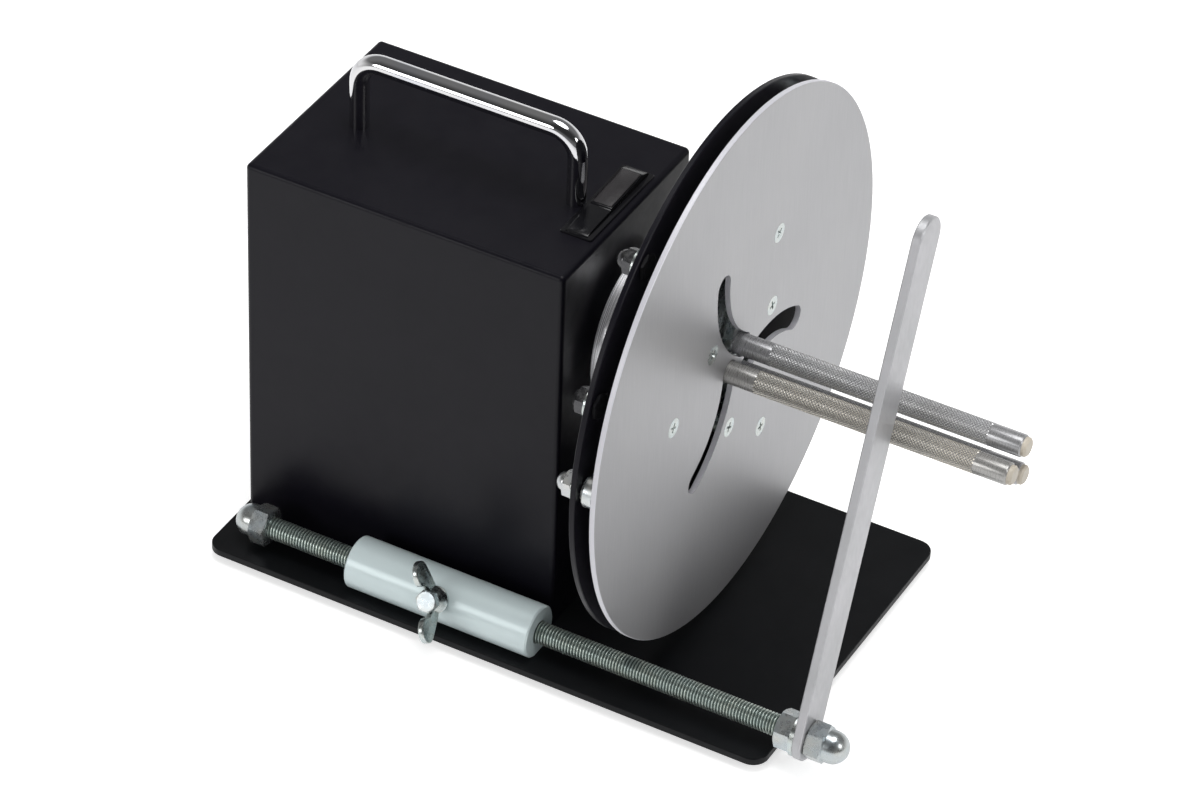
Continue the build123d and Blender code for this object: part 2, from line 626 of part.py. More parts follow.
def make_bearing(start):
    """Ball bearing as one closed ring, relieved between its races."""
    ring = disc_between(start, start + BEARING_WIDTH, BEARING_RADIUS, on_spindle)
    end = start + BEARING_WIDTH
    ring -= disc_between(start - CUT_PAST, end + CUT_PAST, SHAFT_RADIUS + RUNNING_CLEARANCE, on_spindle)
    race = (BEARING_RADIUS - SHAFT_RADIUS) / 3
    groove_outer = BEARING_RADIUS - race
    groove_inner = SHAFT_RADIUS + race
    groove = Circle(groove_outer) - Circle(groove_inner)
    for x in (start, end - BEARING_GROOVE_DEPTH):
        ring -= extrude(on_spindle(x) * groove, amount=BEARING_GROOVE_DEPTH)
    return ring


def make_flange_screws():
    """Round-headed screws through the bearing flange into the bracket."""
    length = BEARING_FLANGE_THICKNESS + BRACKET_THICKNESS
    screw = pan_screw(FRAME_SCREW_RADIUS, SOCKET_HEAD_THICKNESS, length)
    seat_x = bracket_back_x - BEARING_FLANGE_THICKNESS
    seats = [(seat_x, spindle_y + u, spindle_z + v) for u, v in bearing_screw_places]
    return [toward(seat, (1, 0, 0)) * screw for seat in seats]


def make_column_screws():
    """Headless set screws that join the bracket to the gearbox's columns."""
    screw = extrude(Circle(FRAME_SCREW_RADIUS), amount=BRACKET_THICKNESS + PLATE_SCREW_GRIP)
    seats = [(bracket_face_x, spindle_y + u, spindle_z + v) for u, v in gearbox_columns]
    return [toward(seat, (-1, 0, 0)) * screw for seat in seats]


def make_gear_box():
    """Cast gearbox with four columns to the bracket and a hollow output for the shaft."""
    square = RectangleRounded(GEARBOX_SIZE, GEARBOX_SIZE, GEARBOX_EDGE_RADIUS)
    box = extrude(on_spindle(motor_x) * square, amount=GEARBOX_THICKNESS)
    for u, v in gearbox_columns:
        column = on_spindle(gearbox_x) * Pos(u, v) * Circle(GEARBOX_COLUMN_RADIUS)
        box += extrude(column, amount=GEARBOX_STAND_OFF)
    for u, v in gearbox_columns:
        hole = on_spindle(bracket_back_x - PLATE_SCREW_GRIP) * Pos(u, v) * Circle(FRAME_SCREW_RADIUS)
        box -= extrude(hole, amount=PLATE_SCREW_GRIP + CUT_PAST)
    hollow = SHAFT_RADIUS + RUNNING_CLEARANCE
    hollow_start = gearbox_x - SHAFT_IN_GEARBOX - CUT_PAST
    return box - disc_between(hollow_start, gearbox_x + CUT_PAST, hollow, on_spindle)


def make_motor_can():
    """Round motor can on the back of the gearbox."""
    can = disc_between(motor_x - MOTOR_LENGTH, motor_x, MOTOR_RADIUS, on_spindle)
    return fillet(can.faces().sort_by(Axis.X)[0].edges(), MOTOR_EDGE_RADIUS)


# ---- hub and discs ----
post_angles = [POST_ANGLE + turn for turn in FINGER_TURNS.values()]
pivot_angles = [PIVOT_ANGLE + turn for turn in FINGER_TURNS.values()]
rim_bolt_angles = (RIM_HEX_BOLT_ANGLE, RIM_DOME_BOLT_ANGLE)
shaft_end_x = spigot_end_x - SHAFT_END_COVER


def make_spindle_shaft():
    """Shaft from the gearbox's hollow output through both bearings into the drum."""
    return disc_between(gearbox_x - SHAFT_IN_GEARBOX, shaft_end_x, SHAFT_RADIUS, on_spindle)


def make_hub_drum():
    """Polished drum on the shaft, hollow at the back, with a spigot on which the rear disc turns."""
    recess_x = drum_back_x + DRUM_BACK_RECESS
    rim = DRUM_RADIUS - DRUM_BACK_RIM
    points = [(drum_back_x, 0), (drum_back_x, DRUM_HUB_RADIUS), (recess_x, DRUM_HUB_RADIUS), (recess_x, rim)]
    points += [(drum_back_x, rim), (drum_back_x, DRUM_RADIUS - DRUM_EDGE_CHAMFER)]
    points += [(drum_back_x + DRUM_EDGE_CHAMFER, DRUM_RADIUS)]
    points += [(rear_back_x, DRUM_RADIUS), (rear_back_x, DRUM_SPIGOT_RADIUS)]
    points += [(spigot_end_x, DRUM_SPIGOT_RADIUS), (spigot_end_x, 0)]
    drum = turned(points, on_spindle)
    drum -= disc_between(drum_back_x - CUT_PAST, shaft_end_x, SHAFT_RADIUS, on_spindle)
    screw_end_x = front_face_x - DISC_SCREW_LENGTH
    for angle in post_angles:
        hole = on_spindle(screw_end_x) * Pos(*polar(POST_CIRCLE_RADIUS, angle)) * Circle(DISC_SCREW_RADIUS)
        drum -= extrude(hole, amount=spigot_end_x - screw_end_x)
    return drum


def make_disc_retainer():
    """Thin ring plate under the posts that keeps the rear disc on its spigot."""
    plate = disc_between(spigot_end_x, retainer_x, RETAINER_RADIUS, on_spindle)
    for angle in post_angles:
        hole = Pos(*polar(POST_CIRCLE_RADIUS, angle)) * Circle(DISC_SCREW_RADIUS + SHANK_CLEARANCE)
        plate -= extrude(on_spindle(spigot_end_x) * hole, amount=RETAINER_THICKNESS)
    return plate


def make_hub_post(angle):
    """Tubular post that holds the front disc off the drum."""
    ring = Circle(POST_RADIUS) - Circle(DISC_SCREW_RADIUS + SHANK_CLEARANCE)
    place = on_spindle(retainer_x) * Pos(*polar(POST_CIRCLE_RADIUS, angle))
    return extrude(place * ring, amount=front_back_x - retainer_x)


def make_disc_screw(radius, angle, length):
    """Countersunk screw let into the front disc."""
    seat = at_spindle(front_face_x, radius, angle)
    return toward(seat, (-1, 0, 0)) * countersunk_screw(DISC_SCREW_RADIUS, length)


def finger_slot(pivot_angle):
    """Curved slot for one finger: an arc about its lever's pivot, from closed to fully open."""
    centre = polar(pivot_circle, pivot_angle)
    closed = pivot_angle + 180
    arc = CenterArc(centre, finger_arm, closed - LEVER_FULL_SWING, LEVER_FULL_SWING)
    return SlotArc(arc, FINGER_SLOT_WIDTH)


def make_front_disc():
    """Aluminium disc with three curved finger slots and six countersunk holes."""
    outline = Circle(DISC_RADIUS)
    for angle in pivot_angles:
        outline -= finger_slot(angle)
    disc = extrude(on_spindle(front_back_x) * outline, amount=FRONT_DISC_THICKNESS)
    rims = disc.edges().filter_by(GeomType.CIRCLE).filter_by(lambda edge: edge.radius > stud_circle)
    disc = chamfer(rims, DISC_EDGE_CHAMFER)
    holes = [(POST_CIRCLE_RADIUS, angle) for angle in post_angles]
    holes += [(pivot_circle, angle) for angle in pivot_angles]
    for radius, angle in holes:
        place = toward(at_spindle(front_face_x, radius, angle), (-1, 0, 0))
        disc -= place * countersunk_screw(DISC_SCREW_RADIUS, FRONT_DISC_THICKNESS + CUT_PAST, HEAD_CLEARANCE)
    return disc


def make_rear_disc():
    """Black disc that turns on the drum's spigot, with three radial slots for the lever studs."""
    outline = Circle(rear_disc_radius) - Circle(DRUM_SPIGOT_RADIUS + RUNNING_CLEARANCE)
    slot_length = stud_circle - stud_circle_open
    slot_middle = (stud_circle + stud_circle_open) / 2
    slot_width = 2 * (STUD_RADIUS + STUD_SLOT_CLEARANCE)
    for angle in pivot_angles:
        slot = SlotCenterToCenter(slot_length, slot_width)
        outline -= Rot(0, 0, angle) * Pos(slot_middle, 0) * slot
    for angle in rim_bolt_angles:
        outline -= Pos(*polar(rim_bolt_circle, angle)) * Circle(STUD_RADIUS)
    disc = extrude(on_spindle(rear_back_x) * outline, amount=REAR_DISC_THICKNESS)
    rims = disc.edges().filter_by(GeomType.CIRCLE).filter_by(lambda edge: edge.radius > stud_circle)
    return chamfer(rims, DISC_EDGE_CHAMFER)


# ---- finger levers ----
def make_finger_lever(pivot_angle):
    """Two-armed lever: a finger at its inner end, a stud at its outer end, a bush in the middle."""
    rounds = [
        (FINGER_CIRCLE_RADIUS, LEVER_INNER_RADIUS),
        (pivot_circle, LEVER_PIVOT_RADIUS),
        (stud_circle, LEVER_OUTER_RADIUS),
    ]
    outline = Sketch()
    for (near, near_radius), (far, far_radius) in zip(rounds, rounds[1:]):
        ends = (Pos(near, 0) * Circle(near_radius)).edges() + (Pos(far, 0) * Circle(far_radius)).edges()
        outline += make_hull(ends)
    outline -= Pos(FINGER_CIRCLE_RADIUS, 0) * Circle(FINGER_SPIGOT_RADIUS)
    outline -= Pos(pivot_circle, 0) * Circle(BUSH_RADIUS + RUNNING_CLEARANCE)
    outline -= Pos(stud_circle, 0) * Circle(STUD_RADIUS)
    return extrude(on_spindle(lever_back_x) * Rot(0, 0, pivot_angle) * outline, amount=LEVER_THICKNESS)


def make_pivot_bush(pivot_angle):
    """Collared bush on which a lever swings, clamped behind the front disc."""
    centre = Pos(*polar(pivot_circle, pivot_angle))
    bore = Circle(DISC_SCREW_RADIUS + SHANK_CLEARANCE)
    collar_x = front_back_x - BUSH_COLLAR_THICKNESS
    barrel = centre * (Circle(BUSH_RADIUS) - bore)
    collar = centre * (Circle(BUSH_COLLAR_RADIUS) - bore)
    bush = extrude(on_spindle(bush_end_x) * barrel, amount=collar_x - bush_end_x)
    return bush + extrude(on_spindle(collar_x) * collar, amount=BUSH_COLLAR_THICKNESS)


def make_pivot_nut(pivot_angle):
    """Thin round nut that keeps a lever on its bush."""
    centre = Pos(*polar(pivot_circle, pivot_angle))
    ring = Circle(PIVOT_NUT_RADIUS) - Circle(DISC_SCREW_RADIUS)
    return extrude(on_spindle(pivot_nut_x) * centre * ring, amount=PIVOT_NUT_THICKNESS)


def make_finger_rod(pivot_angle):
    """Chuck finger: a turned rod with a knurled grip zone, riveted into its lever."""
    base_x = front_face_x + FINGER_PLAIN_BASE
    end_x = front_face_x + FINGER_REACH - FINGER_TIP_THICKNESS
    knurl_end_x = front_face_x + FINGER_REACH - FINGER_PLAIN_TIP
    y, z = polar(FINGER_CIRCLE_RADIUS, pivot_angle)
    step = FINGER_KNURL_RADIUS - FINGER_RADIUS
    points = [(lever_back_x, 0), (lever_back_x, FINGER_SPIGOT_RADIUS), (lever_front_x, FINGER_SPIGOT_RADIUS)]
    points += [(lever_front_x, FINGER_RADIUS), (base_x, FINGER_RADIUS), (base_x + step, FINGER_KNURL_RADIUS)]
    points += [(knurl_end_x - step, FINGER_KNURL_RADIUS), (knurl_end_x, FINGER_RADIUS)]
    points += [(end_x - FINGER_END_CHAMFER, FINGER_RADIUS), (end_x, FINGER_RADIUS - FINGER_END_CHAMFER)]
    points += [(end_x, FINGER_TIP_STEM_RADIUS)]
    points += [(end_x - FINGER_TIP_STEM_LENGTH, FINGER_TIP_STEM_RADIUS), (end_x - FINGER_TIP_STEM_LENGTH, 0)]
    return turned(points, lambda x: across(x, spindle_y + y, spindle_z + z))


def make_finger_tip(pivot_angle):
    """Pale plug in a finger's end, with a chamfered face."""
    end_x = front_face_x + FINGER_REACH
    seat_x = end_x - FINGER_TIP_THICKNESS
    y, z = polar(FINGER_CIRCLE_RADIUS, pivot_angle)
    stem_x = seat_x - FINGER_TIP_STEM_LENGTH
    points = [(stem_x, 0), (stem_x, FINGER_TIP_STEM_RADIUS)]
    points += [(seat_x, FINGER_TIP_STEM_RADIUS), (seat_x, FINGER_TIP_RADIUS)]
    points += [(end_x - FINGER_TIP_CHAMFER, FINGER_TIP_RADIUS)]
    points += [(end_x, FINGER_TIP_RADIUS - FINGER_TIP_CHAMFER), (end_x, 0)]
    return turned(points, lambda x: across(x, spindle_y + y, spindle_z + z))


def make_stud(radius, angle, collar_from, collar_to, shank_front, shank_back):
    """Shank along X with a hexagonal collar, at a radius and an angle on the chuck."""
    place = toward(at_spindle(collar_from, radius, angle), (1, 0, 0))
    collar = place * hexagon(STUD_COLLAR_WIDTH, collar_to - collar_from)
    shank = toward(at_spindle(shank_back, radius, angle), (1, 0, 0)) * extrude(
        Circle(STUD_RADIUS), amount=shank_front - shank_back
    )
    return collar + shank


def make_lever_stud(pivot_angle):
    """Stud in a lever's outer end, which passes through a slot of the rear disc."""
    collar_from = rear_front_x + STUD_COLLAR_GAP
    shank_back = washer_back_x - SMALL_NUT_THICKNESS
    return make_stud(stud_circle, pivot_angle, collar_from, lever_back_x, lever_front_x, shank_back)


def make_washer(radius, angle, front_x):
    """Washer on the back of the rear disc."""
    place = toward(at_spindle(front_x, radius, angle), (-1, 0, 0))
    return place * extrude(Circle(WASHER_RADIUS) - Circle(STUD_RADIUS), amount=WASHER_THICKNESS)


def make_small_cap_nut(radius, angle, seat_x):
    """Domed nut on a stud, behind the rear disc."""
    length = SMALL_NUT_THICKNESS + SMALL_DOME_RADIUS
    nut = cap_nut(SMALL_NUT_WIDTH, SMALL_NUT_THICKNESS, SMALL_DOME_RADIUS, length)
    nut -= extrude(Circle(STUD_RADIUS), amount=SMALL_NUT_THICKNESS)
    return toward(at_spindle(seat_x, radius, angle), (-1, 0, 0)) * nut


def make_small_hex_nut(radius, angle, seat_x):
    """Plain nut on a stud, behind the rear disc."""
    nut = hexagon(SMALL_NUT_WIDTH, SMALL_NUT_THICKNESS)
    nut -= extrude(Circle(STUD_RADIUS), amount=SMALL_NUT_THICKNESS)
    return toward(at_spindle(seat_x, radius, angle), (-1, 0, 0)) * nut


rim_seat_x = rear_back_x - WASHER_THICKNESS


def make_rim_bolt(angle, past_nut):
    """Low-headed bolt through the rear disc near its rim."""
    shank_back = rim_seat_x - SMALL_NUT_THICKNESS - past_nut
    head_end = rear_front_x + RIM_HEAD_THICKNESS
    return make_stud(rim_bolt_circle, angle, rear_front_x, head_end, head_end, shank_back)


# ---- roll guide ----
def make_guide_block():
    """Round bar with a flat underneath, bored along its length for the rod and tapped for the wing screw."""
    edge = BLOCK_RADIUS - BLOCK_END_CHAMFER
    points = [(block_left_x, 0), (block_left_x, edge), (block_left_x + BLOCK_END_CHAMFER, BLOCK_RADIUS)]
    points += [(block_right_x - BLOCK_END_CHAMFER, BLOCK_RADIUS), (block_right_x, edge), (block_right_x, 0)]
    block = turned(points, on_guide)
    below = Box(2 * BLOCK_LENGTH, 4 * BLOCK_RADIUS, 2 * BLOCK_RADIUS)
    block -= Pos(block_mid_x, guide_y, base_top - BLOCK_RADIUS) * below
    bore = ROD_RADIUS + BLOCK_BORE_CLEARANCE
    block -= disc_between(block_left_x - CUT_PAST, block_right_x + CUT_PAST, bore, on_guide)
    clamp_hole = Cylinder(CLAMP_BOLT_RADIUS + RUNNING_CLEARANCE, 2 * BLOCK_RADIUS)
    block -= wing_place * Pos(0, 0, BLOCK_RADIUS) * clamp_hole
    grip = BLOCK_SCREW_LENGTH - BASE_THICKNESS
    for x, y in block_screw_places:
        block -= Pos(x, y, base_top + grip / 2) * Cylinder(FRAME_SCREW_RADIUS, grip)
    return block


wing_direction = (0, -cos(radians(WING_TILT)), sin(radians(WING_TILT)))
wing_place = Plane(origin=(wing_x, guide_y, guide_z), x_dir=(1, 0, 0), z_dir=wing_direction)


def make_wing_nut():
    """Wing nut jammed under the clamp bolt's head, with two flat lobes."""
    points = [(0, 0), (WING_HUB_BASE_RADIUS, 0), (WING_HUB_BASE_RADIUS, WING_HUB_FOOT_HEIGHT)]
    points += [(WING_HUB_TOP_RADIUS, WING_HUB_LENGTH), (0, WING_HUB_LENGTH)]
    hub = revolve(Plane.XZ * Polygon(*points, align=None), axis=Axis.Z)
    lobe_centre = WING_SPAN_RADIUS - WING_LOBE_RADIUS
    side = Plane(origin=(0, WING_THICKNESS / 2, 0), x_dir=(1, 0, 0), z_dir=(0, -1, 0))
    for sign in (-1, 1):
        lobe = Pos(sign * lobe_centre, WING_LOBE_RISE) * Circle(WING_LOBE_RADIUS)
        root_radius = WING_HUB_LENGTH / 2 - WING_ROOT_INSET
        root = Pos(sign * WING_HUB_TOP_RADIUS / 2, WING_HUB_LENGTH / 2) * Circle(root_radius)
        wing = extrude(side * make_hull(lobe.edges() + root.edges()), amount=WING_THICKNESS)
        hub += wing
    head_radius = CLAMP_HEAD_WIDTH / sqrt(3) + CLAMP_TIP_GAP
    hub -= Pos(0, 0, WING_HUB_LENGTH + WING_LOBE_RADIUS) * Cylinder(head_radius, 2 * WING_LOBE_RADIUS)
    hub -= Cylinder(CLAMP_BOLT_RADIUS, 4 * WING_HUB_LENGTH)
    return wing_place * Pos(0, 0, WING_HUB_START) * Rot(0, 0, 90 + WING_TURN) * hub


def make_clamp_bolt():
    """Hexagon-headed bolt through the wing nut, whose tip bears on the rod."""
    head_z = WING_HUB_START + WING_HUB_LENGTH
    tip_z = ROD_RADIUS + CLAMP_TIP_GAP
    shank = Pos(0, 0, tip_z) * extrude(Circle(CLAMP_BOLT_RADIUS), amount=head_z - tip_z)
    return wing_place * (shank + Pos(0, 0, head_z) * hexagon(CLAMP_HEAD_WIDTH, CLAMP_HEAD_THICKNESS))


def make_threaded_rod():
    """Rod through the block, from inside one domed nut to inside the other."""
    return disc_between(left_cap_x - ROD_IN_CAP, bar_front_x + ROD_IN_CAP, ROD_RADIUS, on_guide)


def make_large_cap_nut(seat_x, direction):
    """Domed nut on an end of the rod."""
    nut = cap_nut(LARGE_NUT_WIDTH, LARGE_CAP_HEX, LARGE_DOME_RADIUS, LARGE_CAP_LENGTH)
    nut -= extrude(Circle(ROD_RADIUS), amount=ROD_IN_CAP)
    return toward((seat_x, guide_y, guide_z), (direction, 0, 0)) * nut


def make_inner_nut():
    """Plain nut that clamps the guide bar from inside."""
    nut = hexagon(LARGE_NUT_WIDTH, LARGE_NUT_THICKNESS)
    nut -= extrude(Circle(ROD_RADIUS), amount=LARGE_NUT_THICKNESS)
    seat_x = bar_back_x - LARGE_WASHER_THICKNESS
    return toward((seat_x, guide_y, guide_z), (-1, 0, 0)) * nut


def make_guide_washer():
    """Washer between the plain nut and the guide bar."""
    ring = Circle(LARGE_WASHER_RADIUS) - Circle(ROD_RADIUS)
    return extrude(on_guide(bar_back_x - LARGE_WASHER_THICKNESS) * ring, amount=LARGE_WASHER_THICKNESS)


def make_guide_bar():
    """Flat bar with round ends that leans back beside the roll."""
    outline = Pos(BAR_LENGTH / 2 - BAR_WIDTH / 2, 0) * SlotOverall(BAR_LENGTH, BAR_WIDTH)
    bar = extrude(on_guide(bar_back_x) * Rot(0, 0, BAR_LEAN) * outline, amount=BAR_THICKNESS)
    bar = chamfer(bar.faces().filter_by(Plane.YZ).edges(), BAR_EDGE_CHAMFER)
    hole = ROD_RADIUS + RUNNING_CLEARANCE
    return bar - disc_between(bar_back_x - CUT_PAST, bar_front_x + CUT_PAST, hole, on_guide)


# ---- all nodes ----
nodes = {
    "base_plate": make_base_plate(),
    "rubber_feet": group(Pos(x, y, 0) * make_foot() for x, y in foot_places),
    "housing_cover": make_housing_cover(),
    "cover_screws": plate_screw_group(cover_screw_places, COVER_SCREW_RADIUS, COVER_SCREW_LENGTH),
    "rear_panel": make_rear_panel(),
    "rear_panel_screws": group(make_panel_screws()),
    "power_inlet": make_power_inlet(),
    "carry_handle": make_carry_handle(),
    "handle_screws": group(make_handle_screw(x) for x in handle_x),
    "switch_frame": make_switch_frame(),
    "switch_rocker": make_switch_rocker(),
    "motor_bracket": make_motor_bracket(),
    "bracket_screws": plate_screw_group(bracket_screw_places, FRAME_SCREW_RADIUS, BRACKET_SCREW_LENGTH),
    "bearing_block": make_bearing_block(),
    "shaft_bearings": group(make_bearing(start) for start in (block_in_x, block_out_x - BEARING_WIDTH)),
    "plate_screws": group(make_flange_screws() + make_column_screws()),
    "gear_box": make_gear_box(),
    "motor_can": make_motor_can(),
    "spindle_shaft": make_spindle_shaft(),
    "hub_drum": make_hub_drum(),
    "disc_retainer": make_disc_retainer(),
    "hub_posts": group(make_hub_post(angle) for angle in post_angles),
    "hub_screws": group(
        make_disc_screw(POST_CIRCLE_RADIUS, angle, DISC_SCREW_LENGTH) for angle in post_angles
    ),
    "front_disc": make_front_disc(),
    "pivot_bushes": group(make_pivot_bush(angle) for angle in pivot_angles),
    "pivot_nuts": group(make_pivot_nut(angle) for angle in pivot_angles),
    "pivot_screws": group(
        make_disc_screw(pivot_circle, angle, front_face_x - pivot_nut_x) for angle in pivot_angles
    ),
    "rear_disc": make_rear_disc(),
    "rim_bolts": group(
        make_rim_bolt(angle, past_nut)
        for angle, past_nut in ((RIM_HEX_BOLT_ANGLE, RIM_BOLT_END), (RIM_DOME_BOLT_ANGLE, 0))
    ),
    "rim_washers": group(make_washer(rim_bolt_circle, angle, rear_back_x) for angle in rim_bolt_angles),
    "rim_hex_nut": make_small_hex_nut(rim_bolt_circle, RIM_HEX_BOLT_ANGLE, rim_seat_x),
    "rim_dome_nut": make_small_cap_nut(rim_bolt_circle, RIM_DOME_BOLT_ANGLE, rim_seat_x),
    "guide_block": make_guide_block(),
    "block_screws": plate_screw_group(block_screw_places, FRAME_SCREW_RADIUS, BLOCK_SCREW_LENGTH),
    "wing_nut": make_wing_nut(),
    "clamp_bolt": make_clamp_bolt(),
    "threaded_rod": make_threaded_rod(),
    "left_cap_nut": make_large_cap_nut(left_cap_x, -1),
    "inner_nut": make_inner_nut(),
    "guide_washer": make_guide_washer(),
    "outer_cap_nut": make_large_cap_nut(bar_front_x, 1),
    "guide_bar": make_guide_bar(),
}
for letter, turn in FINGER_TURNS.items():
    angle = PIVOT_ANGLE + turn
    nodes["finger_lever_" + letter] = make_finger_lever(angle)
    nodes["finger_rod_" + letter] = make_finger_rod(angle)
    nodes["finger_tip_" + letter] = make_finger_tip(angle)
    nodes["lever_stud_" + letter] = make_lever_stud(angle)
    nodes["lever_washer_" + letter] = make_washer(stud_circle, angle, washer_front_x)
    nodes["lever_nut_" + letter] = make_small_cap_nut(stud_circle, angle, washer_back_x)

os.makedirs("parts", exist_ok=True)
for name, shape in nodes.items():
    export_step(shape, "parts/" + name + ".step")
print(len(nodes), "nodes")
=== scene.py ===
"""Looks of a bench label rewinder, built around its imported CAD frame."""

import json
import logging
import math
from dataclasses import dataclass, replace
from enum import Enum
from typing import Protocol

import bmesh
import bpy
from mathutils import Matrix, Vector


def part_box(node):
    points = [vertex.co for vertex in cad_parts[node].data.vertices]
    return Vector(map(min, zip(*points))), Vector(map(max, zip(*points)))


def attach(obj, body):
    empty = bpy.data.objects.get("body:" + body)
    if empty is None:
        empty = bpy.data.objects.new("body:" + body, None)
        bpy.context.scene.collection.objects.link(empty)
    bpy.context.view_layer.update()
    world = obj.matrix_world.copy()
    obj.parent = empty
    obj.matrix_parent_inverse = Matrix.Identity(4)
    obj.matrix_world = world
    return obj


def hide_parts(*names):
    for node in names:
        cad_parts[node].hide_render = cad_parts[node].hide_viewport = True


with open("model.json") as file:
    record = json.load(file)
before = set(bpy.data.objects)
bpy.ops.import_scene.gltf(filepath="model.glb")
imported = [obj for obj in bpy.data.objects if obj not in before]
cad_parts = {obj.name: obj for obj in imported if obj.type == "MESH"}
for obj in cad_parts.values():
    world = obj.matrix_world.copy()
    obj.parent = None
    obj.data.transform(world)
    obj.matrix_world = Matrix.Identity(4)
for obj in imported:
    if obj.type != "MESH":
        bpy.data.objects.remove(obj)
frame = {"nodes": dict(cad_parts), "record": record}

MM = 0.001
CREVICE = "crevice"
NOISE_BAND = (0.3, 0.7)
log = logging.getLogger("rewinder")

Colour = tuple[float, float, float]
Point = tuple[float, float]
Socket = bpy.types.NodeSocket


class Slot(Enum):
    """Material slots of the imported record."""

    BLACK_PLATE = "black_plate"
    BLACK_COAT = "black_coat"
    RUBBER = "rubber"
    ZINC = "zinc"
    DOME_STEEL = "dome_steel"
    SWITCH_PLASTIC = "switch_plastic"
    CHROME = "chrome"
    CAST_ALLOY = "cast_alloy"
    BEARING_STEEL = "bearing_steel"
    MOTOR_PAINT = "motor_paint"
    TURNED_ALLOY = "turned_alloy"
    DISC_ALLOY = "disc_alloy"
    BRONZE = "bronze"
    BLOCK_PAINT = "block_paint"
    BAR_ALLOY = "bar_alloy"
    LEVER_ZINC = "lever_zinc"
    FINGER_STEEL = "finger_steel"
    TIP_PLASTIC = "tip_plastic"


# ---- finishes ----
def set_inputs(node: bpy.types.Node, **values: object) -> None:
    """Fix inputs of a shader node.

    Args:
        node: The node.
        values: Input names, with spaces written as underscores, and their values.
    """
    for name, value in values.items():
        node.inputs[name.replace("_", " ")].default_value = value


def add_node(tree: bpy.types.NodeTree, kind: str, operation: str = "", **values: object) -> bpy.types.Node:
    """Add a shader node with some inputs fixed.

    Args:
        tree: Nodes of a material or of the world.
        kind: Type of the node.
        operation: What a math node works out.
        values: Input names and values, as for set_inputs.

    Returns:
        The node.
    """
    node = tree.nodes.new(kind)
    if operation:
        node.operation = operation
    set_inputs(node, **values)
    return node


def join_all(tree: bpy.types.NodeTree, pairs: tuple[tuple[Socket, Socket], ...]) -> None:
    """Link outputs to inputs.

    Args:
        tree: Nodes of a material or of the world.
        pairs: Each output with the input it feeds.
    """
    for source, target in pairs:
        tree.links.new(source, target)


